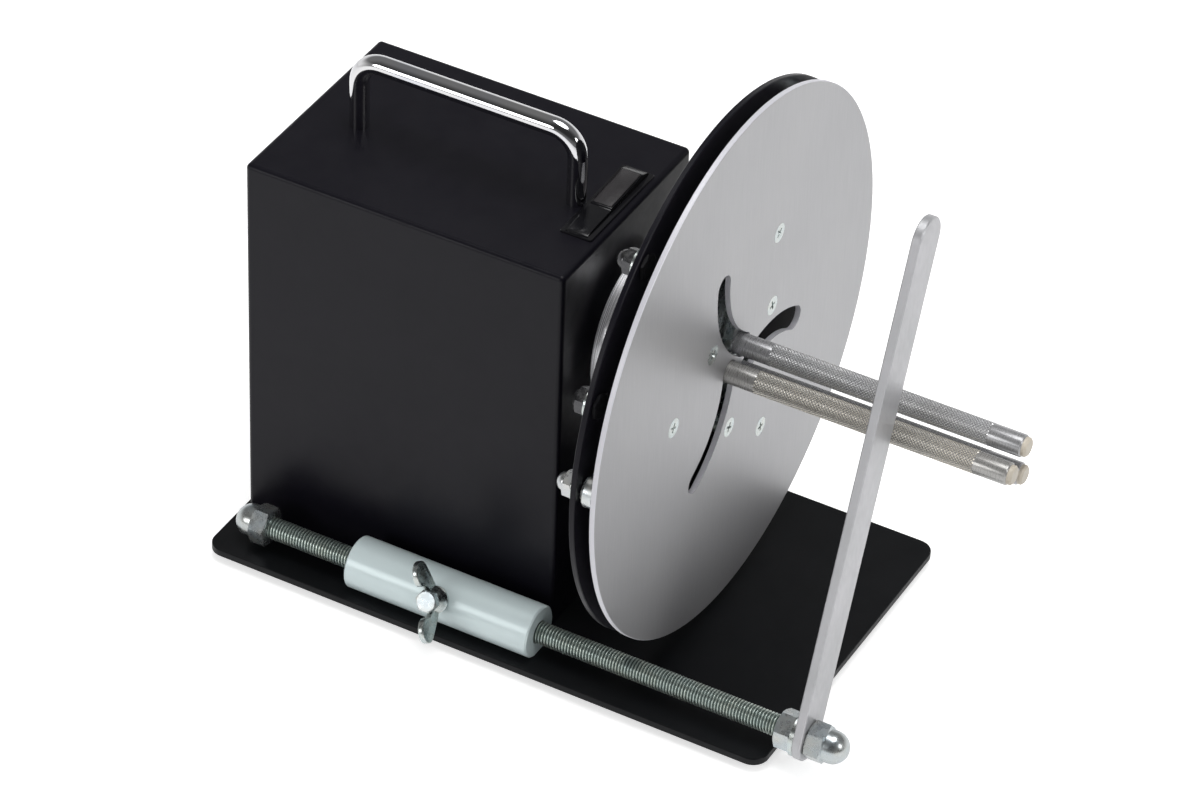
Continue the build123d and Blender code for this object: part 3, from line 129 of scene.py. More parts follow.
class Wiring:
    """Adds nodes to one new material and joins them."""

    def __init__(self, name: str) -> None:
        """Start a material with a surface shader.

        Args:
            name: Name of the new material.
        """
        self.material = bpy.data.materials.new(name)
        self.material.use_nodes = True
        self.tree = self.material.node_tree
        self.tree.nodes.clear()
        self.shader = add_node(self.tree, "ShaderNodeBsdfPrincipled")
        output = add_node(self.tree, "ShaderNodeOutputMaterial")
        self.join(self.shader.outputs["BSDF"], output.inputs["Surface"])
        self.place = add_node(self.tree, "ShaderNodeTexCoord").outputs["Object"]

    def join(self, source: Socket, target: Socket) -> None:
        """Link an output to an input.

        Args:
            source: Output socket.
            target: Input socket.
        """
        self.tree.links.new(source, target)

    def fixed(self, **values: object) -> None:
        """Set inputs of the surface shader that are the same all over."""
        set_inputs(self.shader, **values)

    def noise(
        self,
        size_mm: float,
        stretch: tuple[float, float, float] = (1.0, 1.0, 1.0),
        detail: float = 2.0,
    ) -> Socket:
        """Grey noise on Object coordinates.

        Args:
            size_mm: Size of one grain or patch.
            stretch: How much longer a grain is along X, Y and Z.
            detail: Octaves of finer noise.

        Returns:
            The noise's value socket.
        """
        mapping = add_node(self.tree, "ShaderNodeMapping", Scale=[1 / s for s in stretch])
        node = add_node(self.tree, "ShaderNodeTexNoise", Scale=1 / (size_mm * MM), Detail=detail)
        self.join(self.place, mapping.inputs["Vector"])
        self.join(mapping.outputs["Vector"], node.inputs["Vector"])
        return node.outputs["Fac"]

    def pits(self, size_mm: float) -> Socket:
        """Cell pattern on Object coordinates.

        Args:
            size_mm: Size of one cell.

        Returns:
            The distance socket of the cells.
        """
        node = add_node(self.tree, "ShaderNodeTexVoronoi", Scale=1 / (size_mm * MM))
        self.join(self.place, node.inputs["Vector"])
        return node.outputs["Distance"]

    def crevice(self, colour: Socket, crevice_shade: Colour) -> Socket:
        """Paint shade into the colour where a piece's own crevice attribute is set.

        Args:
            colour: Colour socket of the clean surface.
            crevice_shade: Colour in the bottom of a crevice.

        Returns:
            The mixed colour socket.
        """
        depth = add_node(self.tree, "ShaderNodeAttribute")
        depth.attribute_name = CREVICE
        return self.mixed(depth.outputs["Fac"], colour, crevice_shade)

    def past(self, place_mm: float) -> Socket:
        """Tell which side of a place along X the surface is on.

        Args:
            place_mm: The place.

        Returns:
            A socket that is 1 past the place and 0 before it.
        """
        apart = add_node(self.tree, "ShaderNodeSeparateXYZ")
        node = add_node(self.tree, "ShaderNodeMath", "GREATER_THAN")
        node.inputs[1].default_value = place_mm * MM
        self.join(self.place, apart.inputs["Vector"])
        self.join(apart.outputs["X"], node.inputs[0])
        return node.outputs["Value"]

    def mixed(self, value: Socket, first: Colour | Socket, second: Colour | Socket) -> Socket:
        """Mix two colours, each fixed or varying, by a value.

        Args:
            value: Mix value socket.
            first: Colour where the value is 0.
            second: Colour where the value is 1.

        Returns:
            The mixed colour socket.
        """
        node = add_node(self.tree, "ShaderNodeMix")
        node.data_type = "RGBA"
        self.join(value, node.inputs["Factor"])
        for colour, target in ((first, node.inputs[6]), (second, node.inputs[7])):
            if isinstance(colour, Socket):
                self.join(colour, target)
            else:
                target.default_value = (*colour, 1.0)
        return node.outputs[2]

    def spread(self, value: Socket, low: float, high: float) -> Socket:
        """Spread a noise's middle band over a range.

        Args:
            value: Noise value socket.
            low: Result where the noise is low.
            high: Result where the noise is high.

        Returns:
            The spread value socket.
        """
        start, end = NOISE_BAND
        node = add_node(
            self.tree, "ShaderNodeMapRange", From_Min=start, From_Max=end, To_Min=low, To_Max=high
        )
        self.join(value, node.inputs["Value"])
        return node.outputs["Result"]

    def clouded(self, size_mm: float, first: Colour, second: Colour, detail: float = 2.0) -> Socket:
        """Two colours that pass into each other in soft clouds.

        Args:
            size_mm: Size of one cloud.
            first: Colour where the noise is low.
            second: Colour where the noise is high.
            detail: Octaves of finer noise.

        Returns:
            The colour socket.
        """
        return self.mixed(self.spread(self.noise(size_mm, detail=detail), 0.0, 1.0), first, second)

    def relief(self, height: Socket, depth_mm: float, under: Socket | None = None) -> Socket:
        """Small relief of the surface.

        Args:
            height: Height value socket.
            depth_mm: Height of the relief.
            under: Normal socket of a relief below this one.

        Returns:
            The new normal socket.
        """
        node = add_node(self.tree, "ShaderNodeBump", Strength=1.0, Distance=depth_mm * MM)
        self.join(height, node.inputs["Height"])
        if under is not None:
            self.join(under, node.inputs["Normal"])
        return node.outputs["Normal"]

    def surface(
        self,
        colour: Socket,
        roughness: Socket,
        normal: Socket | None = None,
    ) -> bpy.types.Material:
        """Join the varying inputs to the shader.

        Args:
            colour: Colour socket.
            roughness: Roughness socket.
            normal: Normal socket, where the surface has relief.

        Returns:
            The finished material.
        """
        self.join(colour, self.shader.inputs["Base Color"])
        self.join(roughness, self.shader.inputs["Roughness"])
        if normal is not None:
            self.join(normal, self.shader.inputs["Normal"])
        return self.material


class Finish(Protocol):
    """A surface finish that can make its own material."""

    def make(self, name: str) -> bpy.types.Material:
        """Make the material."""
        ...


@dataclass(frozen=True)
class PowderCoat:
    """Sprayed and baked powder: a satin skin with fine grain and a soft ripple."""

    light: Colour
    dark: Colour
    gloss_rough: float = 0.3
    matt_rough: float = 0.42
    grain_mm: float = 0.55
    grain_depth_mm: float = 0.02
    ripple_mm: float = 4.0
    ripple_depth_mm: float = 0.02
    patch_mm: float = 28.0
    sheen_mm: float = 9.0
    specular: float = 0.16

    def make(self, name: str) -> bpy.types.Material:
        """Make the coated material.

        Args:
            name: Name of the new material.

        Returns:
            The material.
        """
        wiring = Wiring(name)
        wiring.fixed(Metallic=0.0, IOR=1.5, Specular_IOR_Level=self.specular)
        grain = wiring.noise(self.grain_mm, detail=1.0)
        ripple = wiring.noise(self.ripple_mm, detail=1.0)
        normal = wiring.relief(ripple, self.ripple_depth_mm)
        normal = wiring.relief(grain, self.grain_depth_mm, normal)
        return wiring.surface(
            wiring.clouded(self.patch_mm, self.dark, self.light, detail=4.0),
            wiring.spread(wiring.noise(self.sheen_mm, detail=5.0), self.gloss_rough, self.matt_rough),
            normal,
        )


@dataclass(frozen=True)
class PlatedSteel:
    """Bright plated steel with cloudy colour, faint handling marks, and painted shade where a piece sets its
    crevice attribute.
    """

    cool: Colour
    warm: Colour
    cloud_mm: float = 6.0
    bright_rough: float = 0.16
    dull_rough: float = 0.34
    mark_stretch: tuple[float, float, float] = (1.0, 1.0, 1.0)
    mark_mm: float = 3.0
    mark_depth_mm: float = 0.0015
    # colour of the painted shade in crevices: knurl valleys, plain finger lengths and thread roots
    crevice_shade: Colour = (0.2, 0.23, 0.22)
    metallic: float = 1.0

    def make(self, name: str) -> bpy.types.Material:
        """Make the plated material.

        Args:
            name: Name of the new material.

        Returns:
            The material.
        """
        wiring = Wiring(name)
        wiring.fixed(Metallic=self.metallic)
        marks = wiring.noise(self.mark_mm, self.mark_stretch, detail=1.0)
        return wiring.surface(
            wiring.crevice(wiring.clouded(self.cloud_mm, self.cool, self.warm, detail=3.0), self.crevice_shade),
            wiring.spread(marks, self.bright_rough, self.dull_rough),
            wiring.relief(marks, self.mark_depth_mm),
        )


@dataclass(frozen=True)
class WorkedAlloy:
    """Aluminium with tool lines or a brushed lay, and soft clouds between them."""

    light: Colour
    dark: Colour
    lay_mm: float
    lay_stretch: tuple[float, float, float]
    fine_rough: float
    coarse_rough: float
    lay_depth_mm: float = 0.004
    metallic: float = 1.0
    cloud_mm: float = 40.0

    def colour(self, wiring: Wiring) -> Socket:
        """Colour of the surface, with its soft clouds."""
        return wiring.clouded(self.cloud_mm, self.dark, self.light)

    def make(self, name: str) -> bpy.types.Material:
        """Make the alloy material.

        Args:
            name: Name of the new material.

        Returns:
            The material.
        """
        wiring = Wiring(name)
        wiring.fixed(Metallic=self.metallic, IOR=1.5)
        lay = wiring.noise(self.lay_mm, self.lay_stretch, detail=3.0)
        return wiring.surface(
            self.colour(wiring),
            wiring.spread(lay, self.fine_rough, self.coarse_rough),
            wiring.relief(lay, self.lay_depth_mm),
        )


@dataclass(frozen=True)
class EdgeHighlightAlloy(WorkedAlloy):
    """Worked alloy with a painted highlight: its turned edges and slot walls, behind its front face, are
    lighter.
    """

    face_mm: float = 89.4
    # painted highlight on the rim and slot walls: a lighter colour, and how metallic it is
    edge: Colour = (0.66, 0.655, 0.7)
    edge_metallic: float = 0.25

    def colour(self, wiring: Wiring) -> Socket:
        """Colour of the face and of the edges behind it, which carry a painted highlight: lighter, and
        shining less like bare metal.

        Args:
            wiring: The material being made.

        Returns:
            The colour socket.
        """
        on_face = wiring.past(self.face_mm)
        metallic = wiring.spread(on_face, self.edge_metallic, self.metallic)
        wiring.join(metallic, wiring.shader.inputs["Metallic"])
        return wiring.mixed(on_face, self.edge, super().colour(wiring))


@dataclass(frozen=True)
class Moulded:
    """Moulded plastic or rubber with an etched grain."""

    light: Colour
    dark: Colour
    polished_rough: float
    grained_rough: float
    grain_mm: float
    grain_depth_mm: float
    cloud_mm: float = 12.0
    sheen_mm: float = 3.0

    def make(self, name: str) -> bpy.types.Material:
        """Make the moulded material.

        Args:
            name: Name of the new material.

        Returns:
            The material.
        """
        wiring = Wiring(name)
        wiring.fixed(Metallic=0.0, IOR=1.46)
        sheen = wiring.noise(self.sheen_mm, detail=4.0)
        return wiring.surface(
            wiring.clouded(self.cloud_mm, self.dark, self.light, detail=3.0),
            wiring.spread(sheen, self.polished_rough, self.grained_rough),
            wiring.relief(wiring.pits(self.grain_mm), self.grain_depth_mm),
        )


# The crevice colour of these two steels is painted shade in the knurl's sunk diamonds and, mostly, along the
# fingers' plain lengths.
KNURLED_STEEL = PlatedSteel(
    cool=(0.84, 0.85, 0.87),
    warm=(0.9, 0.89, 0.87),
    cloud_mm=18.0,
    bright_rough=0.22,
    dull_rough=0.34,
    mark_stretch=(0.3, 10.0, 10.0),
    mark_mm=0.4,
    crevice_shade=(0.34, 0.34, 0.35),
    metallic=0.55,
)
WARM_KNURLED_STEEL = replace(
    KNURLED_STEEL, cool=(0.82, 0.77, 0.66), warm=(0.88, 0.8, 0.66), crevice_shade=(0.33, 0.33, 0.33)
)
# Its crevice colour is painted shade in the thread's roots.
THREAD_ZINC = PlatedSteel(
    cool=(0.5, 0.59, 0.57),
    warm=(0.62, 0.67, 0.6),
    cloud_mm=9.0,
    bright_rough=0.3,
    dull_rough=0.4,
    crevice_shade=(0.15, 0.19, 0.18),
    metallic=0.75,
)
NUT_ZINC = PlatedSteel(
    cool=(0.42, 0.47, 0.5),
    warm=(0.5, 0.51, 0.49),
    cloud_mm=9.0,
    bright_rough=0.24,
    dull_rough=0.32,
    metallic=0.9,
)
# Near-black copies of zinc: painted shade on the rim nuts and bolts between the discs.
SHADED_NUT = PlatedSteel(cool=(0.07, 0.07, 0.075), warm=(0.11, 0.11, 0.11))
SHADED_BOLT = PlatedSteel(
    cool=(0.016, 0.016, 0.018), warm=(0.024, 0.024, 0.025), bright_rough=0.45, dull_rough=0.6
)
GRAINED_PAD = Moulded(
    light=(0.03, 0.027, 0.029),
    dark=(0.018, 0.016, 0.018),
    polished_rough=0.36,
    grained_rough=0.5,
    grain_mm=0.8,
    grain_depth_mm=0.06,
)
FINISHES: dict[Slot, Finish] = {
    Slot.BLACK_PLATE: PowderCoat(
        light=(0.0057, 0.0062, 0.0075),
        dark=(0.0045, 0.005, 0.006),
        gloss_rough=0.36,
        matt_rough=0.48,
        grain_mm=0.7,
        grain_depth_mm=0.03,
    ),
    Slot.BLACK_COAT: PowderCoat(
        light=(0.0068, 0.0062, 0.01),
        dark=(0.0055, 0.005, 0.0085),
        gloss_rough=0.3,
        matt_rough=0.4,
        grain_mm=0.6,
        grain_depth_mm=0.012,
    ),
    Slot.RUBBER: Moulded(
        light=(0.03, 0.03, 0.03),
        dark=(0.02, 0.02, 0.02),
        polished_rough=0.7,
        grained_rough=0.85,
        grain_mm=0.8,
        grain_depth_mm=0.04,
    ),
    Slot.ZINC: PlatedSteel(
        cool=(0.46, 0.52, 0.53), warm=(0.54, 0.56, 0.53), bright_rough=0.22, dull_rough=0.32
    ),
    Slot.DOME_STEEL: PlatedSteel(
        cool=(0.46, 0.48, 0.5), warm=(0.56, 0.56, 0.54), bright_rough=0.22, dull_rough=0.32
    ),
    Slot.SWITCH_PLASTIC: Moulded(
        light=(0.008, 0.008, 0.01),
        dark=(0.005, 0.005, 0.006),
        polished_rough=0.12,
        grained_rough=0.2,
        grain_mm=0.7,
        grain_depth_mm=0.002,
    ),
    Slot.CHROME: PlatedSteel(
        cool=(0.62, 0.63, 0.68),
        warm=(0.7, 0.69, 0.68),
        cloud_mm=30.0,
        bright_rough=0.04,
        dull_rough=0.09,
        mark_mm=2.0,
        mark_depth_mm=0.001,
    ),
    Slot.CAST_ALLOY: WorkedAlloy(
        light=(0.4, 0.41, 0.42),
        dark=(0.3, 0.31, 0.32),
        lay_mm=1.4,
        lay_stretch=(1.0, 1.0, 1.0),
        fine_rough=0.5,
        coarse_rough=0.68,
        lay_depth_mm=0.08,
        metallic=0.9,
        cloud_mm=14.0,
    ),
    Slot.BEARING_STEEL: PlatedSteel(
        cool=(0.62, 0.63, 0.65), warm=(0.7, 0.69, 0.68), mark_stretch=(0.2, 8.0, 8.0)
    ),
    Slot.MOTOR_PAINT: PowderCoat(
        light=(0.1, 0.1, 0.11), dark=(0.07, 0.07, 0.08), gloss_rough=0.34, matt_rough=0.46
    ),
    Slot.TURNED_ALLOY: WorkedAlloy(
        light=(0.9, 0.9, 0.93),
        dark=(0.8, 0.8, 0.83),
        lay_mm=0.5,
        lay_stretch=(0.5, 90.0, 90.0),
        fine_rough=0.2,
        coarse_rough=0.3,
        lay_depth_mm=0.003,
        metallic=0.7,
        cloud_mm=30.0,
    ),
    # the front disc's rim and slot walls carry a painted highlight
    Slot.DISC_ALLOY: EdgeHighlightAlloy(
        light=(0.42, 0.42, 0.43),
        dark=(0.4, 0.4, 0.412),
        lay_mm=0.6,
        lay_stretch=(1.0, 0.7, 40.0),
        fine_rough=0.38,
        coarse_rough=0.5,
        lay_depth_mm=0.002,
        metallic=0.8,
        cloud_mm=90.0,
    ),
    Slot.BRONZE: PlatedSteel(
        cool=(0.55, 0.38, 0.18), warm=(0.62, 0.45, 0.24), mark_stretch=(0.2, 8.0, 8.0)
    ),
    Slot.BLOCK_PAINT: WorkedAlloy(
        light=(0.71, 0.82, 0.83),
        dark=(0.68, 0.79, 0.8),
        lay_mm=2.4,
        lay_stretch=(2.0, 1.0, 1.0),
        fine_rough=0.28,
        coarse_rough=0.32,
        lay_depth_mm=0.0006,
        metallic=0.1,
        cloud_mm=26.0,
    ),
    Slot.BAR_ALLOY: WorkedAlloy(
        light=(0.51, 0.508, 0.527),
        dark=(0.455, 0.46, 0.472),
        lay_mm=0.5,
        lay_stretch=(1.0, 5.0, 12.0),
        fine_rough=0.36,
        coarse_rough=0.5,
        lay_depth_mm=0.003,
        metallic=0.55,
        cloud_mm=22.0,
    ),
    Slot.LEVER_ZINC: PlatedSteel(
        cool=(0.5, 0.55, 0.58), warm=(0.6, 0.6, 0.57), bright_rough=0.22, dull_rough=0.4
    ),
    Slot.FINGER_STEEL: KNURLED_STEEL,
    Slot.TIP_PLASTIC: Moulded(
        light=(0.62, 0.56, 0.47),
        dark=(0.54, 0.49, 0.41),
        polished_rough=0.36,
        grained_rough=0.5,
        grain_mm=0.9,
        grain_depth_mm=0.01,
    ),
}


@dataclass
class Paint:
    """Keeps one material for each slot of the record, and hands it out."""

    made: dict[Slot, bpy.types.Material]

    @classmethod
    def mix(cls) -> "Paint":
        """Make the material of every slot."""
        return cls({slot: finish.make(slot.value + "_finish") for slot, finish in FINISHES.items()})

    def dress_node(self, node: bpy.types.Object, slot: Slot) -> None:
        """Give a CAD node its finish.

        Args:
            node: The node's object.
            slot: Its slot in the record.
        """
        if not node.material_slots:
            node.data.materials.append(None)
        for held in node.material_slots:
            held.material = self.made[slot]

    def shade_bolts(self) -> None:
        """Paint shade into the bolts near the rear disc's rim and their nuts with near-black zinc, and give
        the clamp bolt the darker zinc of the large nuts.
        """
        shades = (
            ("rim_hex_nut", SHADED_NUT),
            ("rim_dome_nut", SHADED_NUT),
            ("rim_bolts", SHADED_BOLT),
            ("clamp_bolt", NUT_ZINC),
        )
        for node, finish in shades:
            material = finish.make(node + "_finish")
            for held in frame["nodes"][node].material_slots:
                held.material = material


# ---- mesh helpers ----
def lathe(points: list[Point], centre: Vector, steps: int) -> bmesh.types.BMesh:
    """Turn a profile round an axis along X.

    Args:
        points: Places along X and radii, in millimetres, in order.
        centre: Any point on the axis, in metres.
        steps: Segments of one turn.

    Returns:
        A closed mesh.
    """
    bm = bmesh.new()
    verts = [bm.verts.new((x * MM, centre.y, centre.z + r * MM)) for x, r in points]
    edges = [bm.edges.new(pair) for pair in zip(verts, verts[1:])]
    bmesh.ops.spin(
        bm,
        geom=verts + edges,
        cent=centre,
        axis=(1.0, 0.0, 0.0),
        angle=math.tau,
        steps=steps,
        use_merge=True,
    )
    bmesh.ops.remove_doubles(bm, verts=bm.verts, dist=1e-6)
    bmesh.ops.recalc_face_normals(bm, faces=bm.faces)
    return bm


def soften(bm: bmesh.types.BMesh, edges: list[bmesh.types.BMEdge], width: float, segments: int) -> None:
    """Bevel edges with a round profile.

    Args:
        bm: The mesh.
        edges: The edges.
        width: Width of the bevel, in the mesh's own units.
        segments: Faces across the bevel.
    """
    bmesh.ops.bevel(
        bm,
        geom=edges,
        offset=width,
        offset_type="OFFSET",
        affect="EDGES",
        segments=segments,
        profile=0.5,
        material=-1,
    )


def verts_in(geom: list[object]) -> list[bmesh.types.BMVert]:
    """The vertices among the elements that an operator gives back."""
    return [part for part in geom if isinstance(part, bmesh.types.BMVert)]


def edges_in(geom: list[object]) -> list[bmesh.types.BMEdge]:
    """The edges among the elements that an operator gives back."""
    return [part for part in geom if isinstance(part, bmesh.types.BMEdge)]


def edges_sharper_than(bm: bmesh.types.BMesh, degrees: float) -> list[bmesh.types.BMEdge]:
    """Edges whose faces meet at more than an angle.

    Args:
        bm: The mesh.
        degrees: The angle.

    Returns:
        The edges.
    """
    return [e for e in bm.edges if e.calc_face_angle(0.0) > math.radians(degrees)]


def merged(parts: list[bmesh.types.BMesh]) -> bmesh.types.BMesh:
    """Put several meshes in one.

    Args:
        parts: The meshes, which are freed.

    Returns:
        One mesh that holds them all.
    """
    whole = bmesh.new()
    for part in parts:
        mesh = bpy.data.meshes.new("part")
        part.to_mesh(mesh)
        part.free()
        whole.from_mesh(mesh)
        bpy.data.meshes.remove(mesh)
    return whole


@dataclass(frozen=True)
class Piece:
    """A made piece: its name, the body it rides on, its slot and the nodes it stands for."""

    name: str
    body: str
    slot: Slot
    stands_for: tuple[str, ...] = ()

    def deliver(
        self,
        bm: bmesh.types.BMesh,
        material: bpy.types.Material,
        crease: float = 32.0,
    ) -> None:
        """Turn a mesh into a dressed piece on its body.

        Args:
            bm: The mesh, which is freed.
            material: Its finish.
            crease: Angle in degrees past which an edge is drawn sharp.
        """
        for face in bm.faces:
            face.smooth = True
        for edge in bm.edges:
            edge.smooth = edge.calc_face_angle(math.pi) < math.radians(crease)
        mesh = bpy.data.meshes.new(self.name)
        bm.to_mesh(mesh)
        bm.free()
        piece = bpy.data.objects.new(self.name, mesh)
        bpy.context.scene.collection.objects.link(piece)
        mesh.materials.append(material)
        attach(piece, self.body)
        if self.stands_for:
            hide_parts(*self.stands_for)
        log.info("%s: %d faces on %s", self.name, len(mesh.polygons), self.body)


def node_middle(node: str) -> Vector:
    """Middle of a CAD node's box, in metres.

    Args:
        node: Name of the node.

    Returns:
        The middle.
    """
    low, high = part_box(node)
    return (low + high) / 2


# ---- sub-assemblies ----
@dataclass(frozen=True)
class FingerChuck:
    """Knurled fingers and cross-recessed screws of the chuck."""

    spigot_radius: float = 4.0
    rod_radius: float = 6.0
    plain_base: float = 16.0
    plain_tip: float = 20.5
    disc_face: float = 89.5
    lever_front: float = 85.4
    tip_thickness: float = 2.6
    stem_radius: float = 3.0
    stem_length: float = 8.0
    end_chamfer: float = 0.6
    knurl_pitch: float = 0.92
    knurl_cells: int = 42
    knurl_peak: float = 6.15
    knurl_valley: float = 5.72
    warm_finger: str = "b"
    # share of the painted crevice shade along the fingers' plain lengths
    plain_shade: float = 0.9
    screw_radius: float = 3.0
    screw_head_radius: float = 5.42
    recess_reach: float = 2.7
    recess_half_width: float = 0.62
    recess_depth: float = 1.9
    recess_floor_scale: float = 0.45
    head_segments: int = 36
    post_circle: float = 38.2
    post_angle: float = 20.5
    pivot_circle: float = 69.4
    pivot_angle: float = 56.2
    hub_screw_length: float = 20.0
    pivot_screw_length: float = 10.8
    hub_recess_turn: float = 12.0
    pivot_recess_turn: float = 40.0
    recess_turn_step: float = 25.0

    def knurl_band(self, end: float) -> tuple[float, float, int]:
        """Tell where the knurl lies along a finger.

        Args:
            end: Place of the finger's free end along X.

        Returns:
            Where the knurl starts and stops, in millimetres, and its rows.
        """
        start = self.disc_face + self.plain_base
        stop = end + self.tip_thickness - self.plain_tip
        return start, stop, round((stop - start) / self.knurl_pitch)

    def finger_profile(self, start: float, end: float) -> list[Point]:
        """Profile of a finger with one ring for each row of the knurl.

        Args:
            start: Place of its riveted end along X.
            end: Place of its free end along X.

        Returns:
            Places and radii in millimetres.
        """
        knurl_from, knurl_to, rows = self.knurl_band(end)
        step = (knurl_to - knurl_from) / rows
        points = [(start, 0.0), (start, self.spigot_radius), (self.lever_front, self.spigot_radius)]
        points += [(self.lever_front, self.rod_radius)]
        points += [(knurl_from + i * step, self.rod_radius) for i in range(rows + 1)]
        points += [(end - self.end_chamfer, self.rod_radius), (end, self.rod_radius - self.end_chamfer)]
        points += [(end, self.stem_radius), (end - self.stem_length, self.stem_radius)]
        return points + [(end - self.stem_length, 0.0)]

    def cut_knurl(self, bm: bmesh.types.BMesh, centre: Vector, end: float) -> None:
        """Raise and sink the rings' points in turn, which gives rows of small diamonds.

        Args:
            bm: The finger's mesh.
            centre: A point on its axis, in metres.
            end: Place of its free end along X, in millimetres.
        """
        knurl_from, knurl_to, rows = self.knurl_band(end)
        step = (knurl_to - knurl_from) / rows
        cell = math.tau / self.knurl_cells
        inside = (knurl_from + step / 2, knurl_to - step / 2)
        # painted shade: the full crevice shade in the sunk diamonds, none on the raised ones, and plain_shade
        # along the plain lengths
        crevice = bm.verts.layers.float.new(CREVICE)
        for vert in bm.verts:
            vert[crevice] = self.plain_shade
            if not inside[0] < vert.co.x / MM < inside[1]:
                continue
            across = Vector((0.0, vert.co.y - centre.y, vert.co.z - centre.z))
            if across.length < (self.rod_radius - self.end_chamfer) * MM:
                continue
            row = round((vert.co.x / MM - knurl_from) / step)
            column = round(math.atan2(across.y, across.z) / cell)
            sunk = (row + column) % 2 == 0
            vert[crevice] = 1.0 if sunk else 0.0
            across.length = (self.knurl_valley if sunk else self.knurl_peak) * MM
            vert.co.y = centre.y + across.y
            vert.co.z = centre.z + across.z
        cut = [f for f in bm.faces if knurl_from < f.calc_center_median().x / MM < knurl_to]
        bmesh.ops.triangulate(bm, faces=cut, quad_method="SHORT_EDGE", ngon_method="BEAUTY")

    def make_finger(self, letter: str, paint: Paint) -> None:
        """Build one finger.

        Args:
            letter: Which finger: a, b or c.
            paint: Where its finish comes from.
        """
        node = "finger_rod_" + letter
        low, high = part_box(node)
        centre = (low + high) / 2
        bm = lathe(self.finger_profile(low.x / MM, high.x / MM), centre, self.knurl_cells)
        self.cut_knurl(bm, centre, high.x / MM)
        piece = Piece("knurled_finger_" + letter, "lever_" + letter, Slot.FINGER_STEEL, (node,))
        warm = letter == self.warm_finger
        steel = WARM_KNURLED_STEEL.make("warm_finger_finish") if warm else paint.made[Slot.FINGER_STEEL]
        piece.deliver(bm, steel, crease=20.0)

    def make_screw(self, radius: float, angle: float, length: float, turn: float) -> bmesh.types.BMesh:
        """Build one countersunk screw with a cross recess in its head.

        Args:
            radius: Distance from the spindle.
            angle: Angle about the spindle, in degrees.
            length: Length of the screw.
            turn: Turn of the recess, in degrees.

        Returns:
            The screw's mesh, in place.
        """
        bm = bmesh.new()
        rim = bmesh.ops.create_circle(
            bm, segments=self.head_segments, radius=self.screw_head_radius
        )["verts"]
        rim_edges = list({e for v in rim for e in v.link_edges})
        arm, half = self.recess_reach, self.recess_half_width
        corner = [(arm, -half), (arm, half), (half, half)]
        cross = []
        for quarter in range(4):
            spin = Matrix.Rotation(quarter * math.pi / 2, 3, "Z")
            cross += [bm.verts.new(spin @ Vector((x, y, 0.0))) for x, y in corner]
        cross_edges = [bm.edges.new((a, b)) for a, b in zip(cross, cross[1:] + cross[:1])]
        bmesh.ops.triangle_fill(bm, use_beauty=True, edges=rim_edges + cross_edges)
        walls = bmesh.ops.extrude_edge_only(bm, edges=cross_edges)["geom"]
        floor = verts_in(walls)
        bmesh.ops.translate(bm, verts=floor, vec=(0.0, 0.0, -self.recess_depth))
        bmesh.ops.scale(bm, verts=floor, vec=(self.recess_floor_scale, self.recess_floor_scale, 1.0))
        bmesh.ops.triangle_fill(bm, use_beauty=True, edges=edges_in(walls))
        depth = self.screw_head_radius - self.screw_radius
        ring = rim_edges
        for drop, scale in ((depth, self.screw_radius / self.screw_head_radius), (length - depth, 1.0)):
            grown = bmesh.ops.extrude_edge_only(bm, edges=ring)["geom"]
            verts, ring = verts_in(grown), edges_in(grown)
            bmesh.ops.translate(bm, verts=verts, vec=(0.0, 0.0, -drop))
            bmesh.ops.scale(bm, verts=verts, vec=(scale, scale, 1.0))
        bmesh.ops.triangle_fill(bm, use_beauty=True, edges=ring)
        bmesh.ops.remove_doubles(bm, verts=bm.verts, dist=1e-4)
        bmesh.ops.recalc_face_normals(bm, faces=bm.faces)
        spindle = node_middle("spindle_shaft")
        y = spindle.y / MM + radius * math.cos(math.radians(angle))
        z = spindle.z / MM + radius * math.sin(math.radians(angle))
        turned = Matrix.Rotation(math.radians(turn), 4, "Z")
        facing = Matrix.Rotation(math.pi / 2, 4, "Y")
        place = Matrix.Scale(MM, 4) @ Matrix.Translation((self.disc_face, y, z)) @ facing @ turned
        bmesh.ops.transform(bm, matrix=place, verts=bm.verts)
        return bm

    def make_screws(self, paint: Paint) -> None:
        """Build the two groups of three screws in the front disc.

        Args:
            paint: Where their finish comes from.
        """
        groups = (
            ("hub_screws", self.post_circle, self.post_angle, self.hub_screw_length, self.hub_recess_turn),
            (
                "pivot_screws",
                self.pivot_circle,
                self.pivot_angle,
                self.pivot_screw_length,
                self.pivot_recess_turn,
            ),
        )
        for node, radius, angle, length, turn in groups:
            screws = [
                self.make_screw(radius, angle + 120.0 * i, length, turn + self.recess_turn_step * i)
                for i in range(3)
            ]
            piece = Piece("recessed_" + node, "spindle", Slot.ZINC, (node,))
            piece.deliver(merged(screws), paint.made[Slot.ZINC])

    def build(self, paint: Paint) -> None:
        """Build the chuck's pieces.

        Args:
            paint: Where their finishes come from.
        """
        for letter in "abc":
            self.make_finger(letter, paint)
        self.make_screws(paint)


